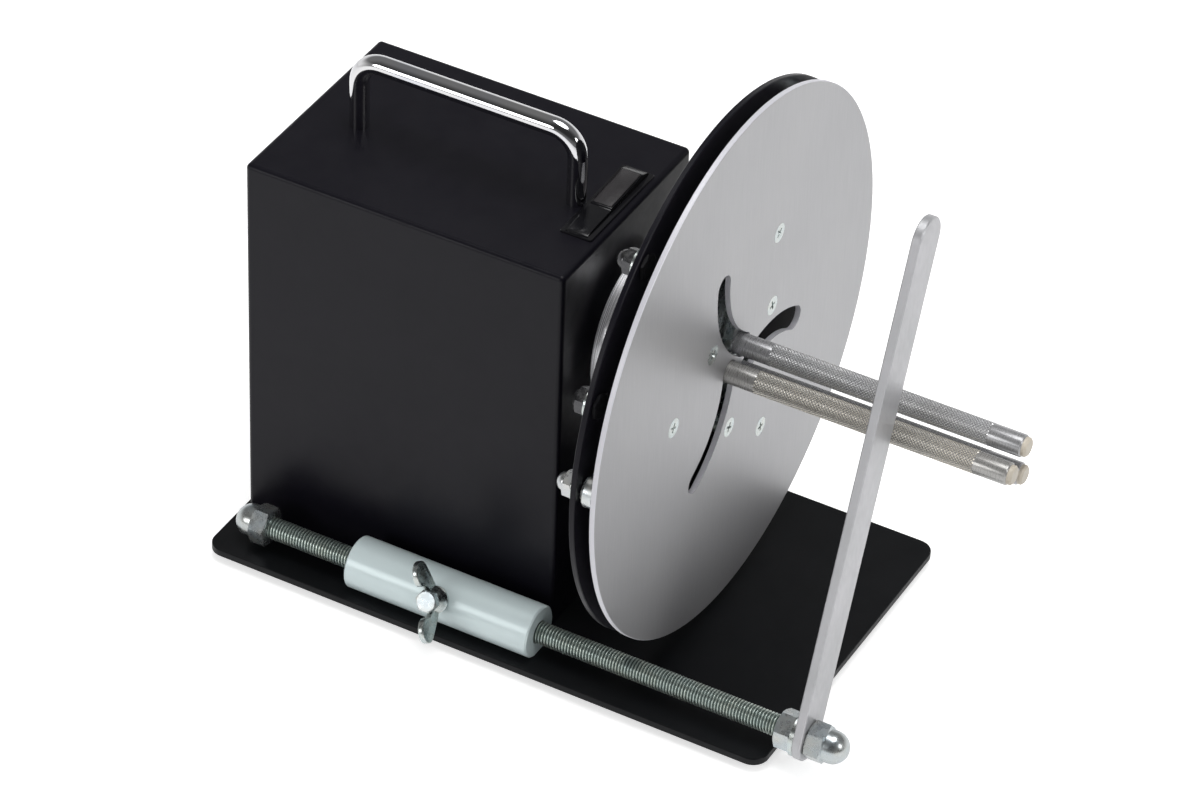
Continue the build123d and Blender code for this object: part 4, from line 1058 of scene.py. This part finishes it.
@dataclass(frozen=True)
class RollGuide:
    """Screw thread and wing screw of the sliding guide."""

    pitch: float = 1.75
    crest_radius: float = 6.0
    root_radius: float = 4.95
    crest_flat: float = 0.3
    root_flat: float = 0.4
    steps: int = 28
    wing_tilt: float = 30.0
    wing_turn: float = 113.5
    hub_start: float = 15.2
    hub_length: float = 8.0
    hub_base_radius: float = 7.4
    hub_top_radius: float = 5.6
    hub_foot_height: float = 1.2
    hub_foot_chamfer: float = 0.5
    hub_top_chamfer: float = 0.6
    hub_steps: int = 48
    bore_radius: float = 3.0
    span_radius: float = 21.5
    lobe_radius: float = 6.8
    lobe_rise: float = 15.0
    lobe_arc_start: float = -50.0
    lobe_arc_step: float = 15.0
    lobe_arc_points: int = 15
    wing_thickness: float = 3.4
    dish_inset: float = 1.5
    dish_depth: float = 0.7
    wing_round: float = 0.7
    root_bite: float = 1.6
    root_low: float = 0.5
    root_reach_low: float = 1.2
    root_rise_low: float = 1.4
    root_reach_high: float = 2.2
    root_rise_high: float = 10.8
    root_bite_high: float = 1.9
    root_high: float = 7.4
    nut_apothem: float = 9.5
    nut_flat_share: float = 0.93
    nut_corner_slope: float = 0.5
    cap_hexagon: float = 10.0
    dome_radius: float = 8.8
    dome_rings: int = 12
    nut_steps: int = 96
    left_cap_turn: float = 45.0
    inner_nut_turn: float = 35.0
    outer_cap_turn: float = 8.0

    def make_rod(self) -> None:
        """Build the rod with its thread, one turn swept and then copied along the rod."""
        low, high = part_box("threaded_rod")
        centre = (low + high) / 2
        turns = (high.x - low.x) / MM / self.pitch + 2
        start = low.x / MM - self.pitch
        flank = (self.pitch - self.crest_flat - self.root_flat) / 2
        rises = [0.0, self.root_flat, self.root_flat + flank, self.pitch - flank, self.pitch]
        radii = [self.root_radius, self.root_radius, self.crest_radius, self.crest_radius, self.root_radius]
        bm = bmesh.new()
        verts = [
            bm.verts.new(((start + rise) * MM, centre.y, centre.z + radius * MM))
            for rise, radius in zip(rises, radii)
        ]
        edges = [bm.edges.new(pair) for pair in zip(verts, verts[1:])]
        bmesh.ops.spin(
            bm,
            geom=verts + edges,
            cent=centre,
            axis=(1.0, 0.0, 0.0),
            dvec=(self.pitch * MM / self.steps, 0.0, 0.0),
            angle=math.tau,
            steps=self.steps,
        )
        made = 1
        while made < turns:
            copied = bmesh.ops.duplicate(bm, geom=bm.verts[:] + bm.edges[:] + bm.faces[:])["geom"]
            bmesh.ops.translate(bm, verts=verts_in(copied), vec=(made * self.pitch * MM, 0.0, 0.0))
            made *= 2
        bmesh.ops.remove_doubles(bm, verts=bm.verts, dist=2e-6)
        for place, out in ((low.x, -1.0), (high.x, 1.0)):
            bmesh.ops.bisect_plane(
                bm,
                geom=bm.verts[:] + bm.edges[:] + bm.faces[:],
                plane_co=(place, 0.0, 0.0),
                plane_no=(out, 0.0, 0.0),
                clear_outer=True,
            )
            rim = [e for e in bm.edges if e.is_boundary and abs(e.verts[0].co.x - place) < 1e-6]
            bmesh.ops.triangle_fill(bm, use_beauty=True, edges=rim)
        bmesh.ops.recalc_face_normals(bm, faces=bm.faces)
        # painted shade in the thread: none on the crest, growing to full in the root
        crevice = bm.verts.layers.float.new(CREVICE)
        for vert in bm.verts:
            radius = math.hypot(vert.co.y - centre.y, vert.co.z - centre.z) / MM
            vert[crevice] = (self.crest_radius - radius) / (self.crest_radius - self.root_radius)
        piece = Piece("screw_thread_rod", "guide_rod", Slot.ZINC, ("threaded_rod",))
        piece.deliver(bm, THREAD_ZINC.make("thread_finish"))

    def make_hub(self) -> bmesh.types.BMesh:
        """Build the wing nut's hub about its own Z axis, in millimetres.

        Returns:
            The hub's mesh.
        """
        profile = [
            (self.bore_radius, 0.0),
            (self.hub_base_radius, 0.0),
            (self.hub_base_radius, self.hub_foot_height),
            (self.hub_base_radius - self.hub_foot_chamfer, self.hub_foot_height + self.hub_foot_chamfer),
            (self.hub_top_radius, self.hub_length - self.hub_top_chamfer),
            (self.hub_top_radius - self.hub_top_chamfer, self.hub_length),
            (self.bore_radius, self.hub_length),
        ]
        bm = bmesh.new()
        verts = [bm.verts.new((r, 0.0, z)) for r, z in profile]
        edges = [bm.edges.new(pair) for pair in zip(verts, verts[1:] + verts[:1])]
        bmesh.ops.spin(
            bm,
            geom=verts + edges,
            cent=(0.0, 0.0, 0.0),
            axis=(0.0, 0.0, 1.0),
            angle=math.tau,
            steps=self.hub_steps,
            use_merge=True,
        )
        bmesh.ops.remove_doubles(bm, verts=bm.verts, dist=1e-4)
        bmesh.ops.recalc_face_normals(bm, faces=bm.faces)
        return bm

    def make_lobe(self, side: int) -> bmesh.types.BMesh:
        """Build one wing with a dished face on both sides, in millimetres.

        Args:
            side: 1 or -1, for the two ends of the span.

        Returns:
            The wing's mesh.
        """
        bm = bmesh.new()
        centre = self.span_radius - self.lobe_radius
        outline = [(self.bore_radius + self.root_bite, self.root_low)]
        outline += [(self.hub_base_radius + self.root_reach_low, self.root_rise_low)]
        for step in range(self.lobe_arc_points):
            angle = math.radians(self.lobe_arc_start + step * self.lobe_arc_step)
            across, up = self.lobe_radius * math.cos(angle), self.lobe_radius * math.sin(angle)
            outline.append((centre + across, self.lobe_rise + up))
        outline += [(self.hub_top_radius + self.root_reach_high, self.root_rise_high)]
        outline += [(self.bore_radius + self.root_bite_high, self.root_high)]
        half = self.wing_thickness / 2
        verts = [bm.verts.new((side * x, -half, z)) for x, z in outline]
        face = bm.faces.new(verts)
        grown = bmesh.ops.extrude_face_region(bm, geom=[face])["geom"]
        bmesh.ops.translate(bm, verts=verts_in(grown), vec=(0.0, self.wing_thickness, 0.0))
        bmesh.ops.recalc_face_normals(bm, faces=bm.faces)
        flats = [f for f in bm.faces if len(f.verts) > 4]
        bmesh.ops.inset_region(
            bm, faces=flats, thickness=self.dish_inset, depth=-self.dish_depth, use_even_offset=True
        )
        soften(bm, edges_sharper_than(bm, 50.0), self.wing_round, 3)
        return bm

    def make_wing_nut(self, paint: Paint) -> None:
        """Build the wing nut and set it on the clamp bolt.

        Args:
            paint: Where its finish comes from.
        """
        bm = merged([self.make_hub(), self.make_lobe(1), self.make_lobe(-1)])
        tilt = math.radians(self.wing_tilt)
        out = Vector((0.0, -math.cos(tilt), math.sin(tilt)))
        along = Vector((1.0, 0.0, 0.0))
        frame_axes = Matrix((along, out.cross(along), out)).transposed().to_4x4()
        guide = node_middle("threaded_rod") / MM
        bolt = node_middle("clamp_bolt") / MM
        origin = Vector((bolt.x, guide.y, guide.z)) + out * self.hub_start
        turned = Matrix.Rotation(math.radians(self.wing_turn), 4, "Z")
        place = Matrix.Scale(MM, 4) @ Matrix.Translation(origin) @ frame_axes @ turned
        bmesh.ops.transform(bm, matrix=place, verts=bm.verts)
        piece = Piece("dished_wing_nut", "wing_screw", Slot.ZINC, ("wing_nut",))
        piece.deliver(bm, paint.made[Slot.ZINC], crease=40.0)

    def hexagon_profile(self, length: float, bore: float) -> list[Point]:
        """Profile of a hexagon nut before its flats are cut.

        Args:
            length: Length of the hexagon.
            bore: Radius at which the profile starts.

        Returns:
            Distances from the seat and radii, in millimetres.
        """
        corner = self.nut_apothem / math.cos(math.pi / 6)
        flat = self.nut_apothem * self.nut_flat_share
        drop = (corner - flat) * self.nut_corner_slope
        return [(0.0, bore), (0.0, flat), (drop, corner), (length - drop, corner), (length, flat)]

    def make_nut(
        self,
        node: str,
        body: str,
        turn: float,
        domed: int,
        finish: bpy.types.Material,
    ) -> None:
        """Build one of the large nuts with its own turn about the rod.

        Args:
            node: The nut's node.
            body: The body it rides on.
            turn: Angle of a corner about the rod, in degrees from +Y.
            domed: 1 or -1 for a dome toward +X or -X, 0 for an open nut.
            finish: Its material.
        """
        low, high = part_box(node)
        centre = (low + high) / 2
        length = (high.x - low.x) / MM
        if domed:
            profile = self.hexagon_profile(self.cap_hexagon, 0.0)
            neck = length - self.dome_radius
            for ring in range(self.dome_rings + 1):
                angle = math.radians(90.0 / self.dome_rings * ring)
                rise, radius = self.dome_radius * math.sin(angle), self.dome_radius * math.cos(angle)
                profile.append((neck + rise, radius))
        else:
            profile = self.hexagon_profile(length, self.crest_radius)
            profile += [(length, self.crest_radius), (0.0, self.crest_radius)]
        seat = high.x / MM if domed < 0 else low.x / MM
        way = -1.0 if domed < 0 else 1.0
        placed = [(seat + way * along, radius) for along, radius in profile]
        bm = lathe(placed, centre, self.nut_steps)
        for side in range(6):
            angle = math.radians(turn + 30.0 + 60.0 * side)
            normal = Vector((0.0, math.cos(angle), math.sin(angle)))
            bmesh.ops.bisect_plane(
                bm,
                geom=bm.verts[:] + bm.edges[:] + bm.faces[:],
                dist=1e-7,
                plane_co=centre + normal * self.nut_apothem * MM,
                plane_no=normal,
                clear_outer=True,
            )
            rim = [e for e in bm.edges if e.is_boundary]
            bmesh.ops.triangle_fill(bm, use_beauty=True, edges=rim, normal=normal)
        bmesh.ops.recalc_face_normals(bm, faces=bm.faces)
        Piece("turned_" + node, body, Slot.ZINC, (node,)).deliver(bm, finish, crease=24.0)

    def build(self, paint: Paint) -> None:
        """Build the guide's pieces.

        Args:
            paint: Where their finishes come from.
        """
        self.make_rod()
        self.make_wing_nut(paint)
        zinc = NUT_ZINC.make("large_nut_finish")
        self.make_nut("left_cap_nut", "guide_rod", self.left_cap_turn, -1, zinc)
        self.make_nut("inner_nut", "guide_arm", self.inner_nut_turn, 0, zinc)
        self.make_nut("outer_cap_nut", "guide_arm", self.outer_cap_turn, 1, zinc)


@dataclass(frozen=True)
class RockerSwitch:
    """Low switch: a thin bezel, and a long rocker with a grained pad over its rear half."""

    bezel_width: float = 18.6
    bezel_rise: float = 0.9
    bezel_chamfer: float = 0.4
    bezel_corner: float = 1.5
    cavity_corner: float = 0.3
    body_width: float = 13.0
    body_length: float = 65.0
    body_depth: float = 20.0
    cavity_width: float = 12.6
    cavity_length: float = 64.4
    cavity_depth: float = 8.0
    side_gap: float = 0.2
    end_gap: float = 0.3
    pivot_height: float = 0.8
    rear_rise: float = 3.9
    step_rise: float = 2.5
    front_rise: float = 1.5
    step_place: float = -7.4
    pad_end: float = 24.6
    pad_inset: float = 0.5
    pad_height: float = 0.3
    pad_gap: float = 1.5
    pad_corner: float = 1.0
    pad_edge: float = 0.14

    def rounded_rectangle(
        self,
        width: float,
        length: float,
        radius: float,
        height: float,
    ) -> list[tuple[float, float, float]]:
        """Outline of a rectangle with round corners.

        Args:
            width: Size along X.
            length: Size along Y.
            radius: Radius of its corners.
            height: Height of the outline.

        Returns:
            Its points in order.
        """
        points = []
        for quarter in range(4):
            right = quarter in (0, 3)
            rear = quarter in (0, 1)
            x = (width / 2 - radius) * (1 if right else -1)
            y = (length / 2 - radius) * (1 if rear else -1)
            for step in range(7):
                angle = math.radians(90.0 * quarter + 15.0 * step)
                points.append((x + radius * math.cos(angle), y + radius * math.sin(angle), height))
        return points

    def make_bezel(self, paint: Paint) -> None:
        """Build the frame as a chain of outlines, from its underside round to the cavity's floor.

        Args:
            paint: Where its finish comes from.
        """
        low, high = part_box("switch_frame")
        middle = (low + high) / 2 / MM
        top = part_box("housing_cover")[1].z / MM
        length = (high.y - low.y) / MM
        cut = self.bezel_chamfer
        round_corner, tight_corner = self.bezel_corner, self.cavity_corner
        loops = (
            (self.body_width, self.body_length, tight_corner, -self.body_depth),
            (self.body_width, self.body_length, tight_corner, 0.0),
            (self.bezel_width, length, round_corner, 0.0),
            (self.bezel_width, length, round_corner, self.bezel_rise - cut),
            (self.bezel_width - 2 * cut, length - 2 * cut, round_corner - cut, self.bezel_rise),
            (self.cavity_width, self.cavity_length, tight_corner, self.bezel_rise),
            (self.cavity_width, self.cavity_length, tight_corner, -self.cavity_depth),
        )
        bm = bmesh.new()
        rings = [[bm.verts.new(point) for point in self.rounded_rectangle(*loop)] for loop in loops]
        for near, far in zip(rings, rings[1:]):
            for i in range(len(near)):
                bm.faces.new((near[i - 1], near[i], far[i], far[i - 1]))
        bm.faces.new(rings[0])
        bm.faces.new(rings[-1])
        bmesh.ops.recalc_face_normals(bm, faces=bm.faces)
        place = Matrix.Scale(MM, 4) @ Matrix.Translation((middle.x, middle.y, top))
        bmesh.ops.transform(bm, matrix=place, verts=bm.verts)
        piece = Piece("thin_switch_bezel", "root", Slot.SWITCH_PLASTIC, ("switch_frame",))
        piece.deliver(bm, paint.made[Slot.SWITCH_PLASTIC], crease=30.0)

    def make_rocker(self, paint: Paint) -> None:
        """Build the rocker and the grained pad on it.

        Args:
            paint: Where the rocker's finish comes from.
        """
        middle = node_middle("switch_frame") / MM
        half = self.cavity_length / 2 - self.end_gap
        width = self.cavity_width - 2 * self.side_gap
        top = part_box("housing_cover")[1].z / MM
        place = Matrix.Scale(MM, 4) @ Matrix.Translation((middle.x, middle.y, top + self.pivot_height))
        rear, step, front = self.rear_rise, self.step_rise, self.front_rise
        outline = [
            (0.8 - half, -5.6),
            (half - 0.4, -1.4),
            (half - 0.2, rear - 2.8),
            (half - 1.6, rear - 1.9),
            (self.pad_end + 0.6, rear),
            (self.step_place + 0.9, step),
            (self.step_place, front + 0.1),
            (10.5 - half, front),
            (6.5 - half, front - 0.25),
            (3.4 - half, front - 0.6),
            (1.2 - half, front - 1.1),
            (0.2 - half, front - 1.8),
        ]
        bm = bmesh.new()
        verts = [bm.verts.new((-width / 2, y, z)) for y, z in outline]
        face = bm.faces.new(verts)
        grown = bmesh.ops.extrude_face_region(bm, geom=[face])["geom"]
        bmesh.ops.translate(bm, verts=verts_in(grown), vec=(width, 0.0, 0.0))
        bmesh.ops.recalc_face_normals(bm, faces=bm.faces)
        soften(bm, edges_sharper_than(bm, 20.0), 0.5, 4)
        bmesh.ops.transform(bm, matrix=place, verts=bm.verts)
        piece = Piece("moulded_rocker", "rocker", Slot.SWITCH_PLASTIC, ("switch_rocker",))
        piece.deliver(bm, paint.made[Slot.SWITCH_PLASTIC], crease=40.0)
        self.make_pad(width, place)

    def make_pad(self, width: float, place: Matrix) -> None:
        """Build the thin grained pad on the rocker's rear half.

        Args:
            width: The rocker's width, in millimetres.
            place: Where the pivot lies.
        """
        start, end = self.step_place + self.pad_gap, self.pad_end
        slope = math.atan2(self.rear_rise - self.step_rise, self.pad_end - self.step_place - 0.3)
        height = (self.rear_rise + self.step_rise) / 2
        bm = bmesh.new()
        bmesh.ops.create_cube(bm, size=1.0)
        size = Matrix.Diagonal((width - 2 * self.pad_inset, end - start, 2 * self.pad_height, 1.0))
        middle = Matrix.Translation((0.0, (start + end) / 2, height))
        bmesh.ops.transform(bm, matrix=middle @ Matrix.Rotation(slope, 4, "X") @ size, verts=bm.verts)
        # the upright edges, and the long ones, which rise with the slope
        rising = [e for e in bm.edges if abs((e.verts[0].co - e.verts[1].co).z) > self.pad_height]
        soften(bm, rising, self.pad_corner, 4)
        soften(bm, edges_sharper_than(bm, 60.0), self.pad_edge, 2)
        bmesh.ops.transform(bm, matrix=place, verts=bm.verts)
        piece = Piece("grained_rocker_pad", "rocker", Slot.SWITCH_PLASTIC)
        piece.deliver(bm, GRAINED_PAD.make("grained_pad_finish"), crease=40.0)

    def build(self, paint: Paint) -> None:
        """Build the switch's pieces.

        Args:
            paint: Where their finishes come from.
        """
        self.make_bezel(paint)
        self.make_rocker(paint)


# ---- studio ----
@dataclass(frozen=True)
class Lamp:
    """One soft lamp: where it hangs, what it looks at, its size and its power."""

    name: str
    place: tuple[float, float, float]
    target: tuple[float, float, float]
    size: float
    power: float

    def hang(self) -> None:
        """Put the lamp in the scene."""
        data = bpy.data.lights.new(self.name, "AREA")
        data.shape = "DISK"
        data.size = self.size
        data.energy = self.power
        lamp = bpy.data.objects.new(self.name, data)
        aim = Vector(self.target) - Vector(self.place)
        lamp.matrix_world = Matrix.Translation(self.place) @ aim.to_track_quat("-Z", "Y").to_matrix().to_4x4()
        bpy.context.scene.collection.objects.link(lamp)


@dataclass(frozen=True)
class Studio:
    """Camera, lamps, floor and surroundings."""

    eye: tuple[float, float, float] = (1.0169, -1.9095, 1.8099)
    yaw: float = 0.484
    pitch: float = 0.668
    roll: float = 0.041
    focal_mm: float = 158.85
    sensor_mm: float = 36.0
    floor_z: float = -0.005
    floor_reach: float = 12.0
    floor_to_camera: float = 0.6
    floor_in_gloss: float = 0.5
    ambient: float = 0.42
    overhead_gloss: float = 0.2
    overhead_fade: tuple[float, float] = (0.08, 0.5)
    behind_camera_gloss: float = 0.18
    behind_camera_fade: tuple[float, float] = (-0.6, 0.3)
    lamps: tuple[Lamp, ...] = (
        Lamp("top_softbox", (0.1, 0.1, 1.9), (0.0, 0.0, 0.15), 1.2, 18.0),
        Lamp("front_softbox", (-1.15, -2.1, 0.95), (0.0, 0.0, 0.12), 1.0, 11.0),
        Lamp("side_softbox", (2.0, -0.2, 1.2), (0.05, 0.0, 0.15), 0.9, 9.0),
    )

    def set_camera(self) -> None:
        """Put the camera at the photograph's place and angle."""
        forward = Vector(
            (
                -math.sin(self.yaw) * math.cos(self.pitch),
                math.cos(self.yaw) * math.cos(self.pitch),
                -math.sin(self.pitch),
            )
        )
        level = Vector((math.cos(self.yaw), math.sin(self.yaw), 0.0))
        raised = level.cross(forward)
        right = math.cos(self.roll) * level + math.sin(self.roll) * raised
        up = math.cos(self.roll) * raised - math.sin(self.roll) * level
        data = bpy.data.cameras.new("camera")
        data.sensor_fit = "HORIZONTAL"
        data.sensor_width = self.sensor_mm
        data.lens = self.focal_mm
        data.clip_start = 0.05
        data.clip_end = 50.0
        camera = bpy.data.objects.new("camera", data)
        turned = Matrix((right, up, -forward)).transposed().to_4x4()
        camera.matrix_world = Matrix.Translation(self.eye) @ turned
        bpy.context.scene.collection.objects.link(camera)
        bpy.context.scene.camera = camera

    def lay_floor(self) -> None:
        """Lay a wide pale floor that keeps the shadow and reads white to the camera."""
        bm = bmesh.new()
        bmesh.ops.create_grid(bm, x_segments=1, y_segments=1, size=self.floor_reach)
        bmesh.ops.translate(bm, verts=bm.verts, vec=(0.0, 0.0, self.floor_z))
        mesh = bpy.data.meshes.new("floor")
        bm.to_mesh(mesh)
        bm.free()
        floor = bpy.data.objects.new("floor", mesh)
        bpy.context.scene.collection.objects.link(floor)
        material = bpy.data.materials.new("floor_paint")
        material.use_nodes = True
        tree = material.node_tree
        tree.nodes.clear()
        output = add_node(tree, "ShaderNodeOutputMaterial")
        matt = add_node(tree, "ShaderNodeBsdfDiffuse", Color=(0.8, 0.8, 0.8, 1.0))
        glow = add_node(tree, "ShaderNodeEmission")
        paths = add_node(tree, "ShaderNodeLightPath")
        glossy = add_node(tree, "ShaderNodeMath", "MULTIPLY")
        glossy.inputs[1].default_value = self.floor_in_gloss
        scaled = add_node(tree, "ShaderNodeMath", "MULTIPLY_ADD")
        scaled.inputs[1].default_value = self.floor_to_camera
        both = add_node(tree, "ShaderNodeAddShader")
        pairs = (
            (paths.outputs["Is Glossy Ray"], glossy.inputs[0]),
            (paths.outputs["Is Camera Ray"], scaled.inputs[0]),
            (glossy.outputs["Value"], scaled.inputs[2]),
            (scaled.outputs["Value"], glow.inputs["Strength"]),
            (matt.outputs["BSDF"], both.inputs[0]),
            (glow.outputs["Emission"], both.inputs[1]),
            (both.outputs["Shader"], output.inputs["Surface"]),
        )
        join_all(tree, pairs)
        mesh.materials.append(material)

    def add_fade(
        self,
        tree: bpy.types.NodeTree,
        band: tuple[float, float],
        first: float,
        last: float,
    ) -> bpy.types.Node:
        """Add a node that passes smoothly from one value to another.

        Args:
            tree: The world's nodes.
            band: Where the change starts and ends.
            first: Value before the change.
            last: Value after it.

        Returns:
            The node.
        """
        ends = {"From_Min": band[0], "From_Max": band[1], "To_Min": first, "To_Max": last}
        node = add_node(tree, "ShaderNodeMapRange", **ends)
        node.interpolation_type = "SMOOTHSTEP"
        return node

    def set_surroundings(self) -> None:
        """White to the camera; in gloss, white behind the machine and dark behind the camera."""
        world = bpy.data.worlds.new("studio")
        bpy.context.scene.world = world
        world.use_nodes = True
        tree = world.node_tree
        tree.nodes.clear()
        output = add_node(tree, "ShaderNodeOutputWorld")
        paths = add_node(tree, "ShaderNodeLightPath")
        coords = add_node(tree, "ShaderNodeTexCoord")
        toward = add_node(tree, "ShaderNodeVectorMath", "DOT_PRODUCT")
        toward.inputs[1].default_value = (-math.sin(self.yaw), math.cos(self.yaw), 0.0)
        fade = self.add_fade(tree, self.behind_camera_fade, self.behind_camera_gloss, 1.0)
        apart = add_node(tree, "ShaderNodeSeparateXYZ")
        raised = self.add_fade(tree, self.overhead_fade, 1.0, self.overhead_gloss)
        both = add_node(tree, "ShaderNodeMath", "MULTIPLY")
        plain = (1.0, 1.0, 1.0, 1.0)
        room = add_node(tree, "ShaderNodeBackground", Color=plain)
        ambient = add_node(tree, "ShaderNodeBackground", Color=plain, Strength=self.ambient)
        white = add_node(tree, "ShaderNodeBackground", Color=plain)
        glossy = add_node(tree, "ShaderNodeMixShader")
        camera = add_node(tree, "ShaderNodeMixShader")
        reflected = add_node(tree, "ShaderNodeMath", "MAXIMUM")
        pairs = (
            (coords.outputs["Generated"], toward.inputs[0]),
            (toward.outputs["Value"], fade.inputs["Value"]),
            (coords.outputs["Generated"], apart.inputs["Vector"]),
            (apart.outputs["Z"], raised.inputs["Value"]),
            (fade.outputs["Result"], both.inputs[0]),
            (raised.outputs["Result"], both.inputs[1]),
            (both.outputs["Value"], room.inputs["Strength"]),
            (paths.outputs["Is Glossy Ray"], reflected.inputs[0]),
            (paths.outputs["Is Transmission Ray"], reflected.inputs[1]),
            (reflected.outputs["Value"], glossy.inputs["Fac"]),
            (ambient.outputs["Background"], glossy.inputs[1]),
            (room.outputs["Background"], glossy.inputs[2]),
            (paths.outputs["Is Camera Ray"], camera.inputs["Fac"]),
            (glossy.outputs["Shader"], camera.inputs[1]),
            (white.outputs["Background"], camera.inputs[2]),
            (camera.outputs["Shader"], output.inputs["Surface"]),
        )
        join_all(tree, pairs)

    def build(self) -> None:
        """Set up the studio."""
        self.set_camera()
        self.lay_floor()
        self.set_surroundings()
        for lamp in self.lamps:
            lamp.hang()
        bpy.context.scene.view_settings.view_transform = "Standard"


def dress_nodes(paint: Paint) -> None:
    """Give every CAD node the finish of its slot in the record.

    Args:
        paint: Where the finishes come from.
    """
    slots = {part["node"]: Slot(part["material_slot"]) for part in frame["record"]["subparts"]}
    for name, node in frame["nodes"].items():
        paint.dress_node(node, slots[name])
        log.info("%s: %s", name, slots[name].value)


def main() -> None:
    """Build the looks of the machine in order."""
    logging.basicConfig(level=logging.INFO, format="%(name)s %(message)s")
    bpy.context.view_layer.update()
    Studio().build()
    paint = Paint.mix()
    dress_nodes(paint)
    paint.shade_bolts()
    FingerChuck().build(paint)
    RollGuide().build(paint)
    RockerSwitch().build(paint)


if __name__ == "__main__":
    main()
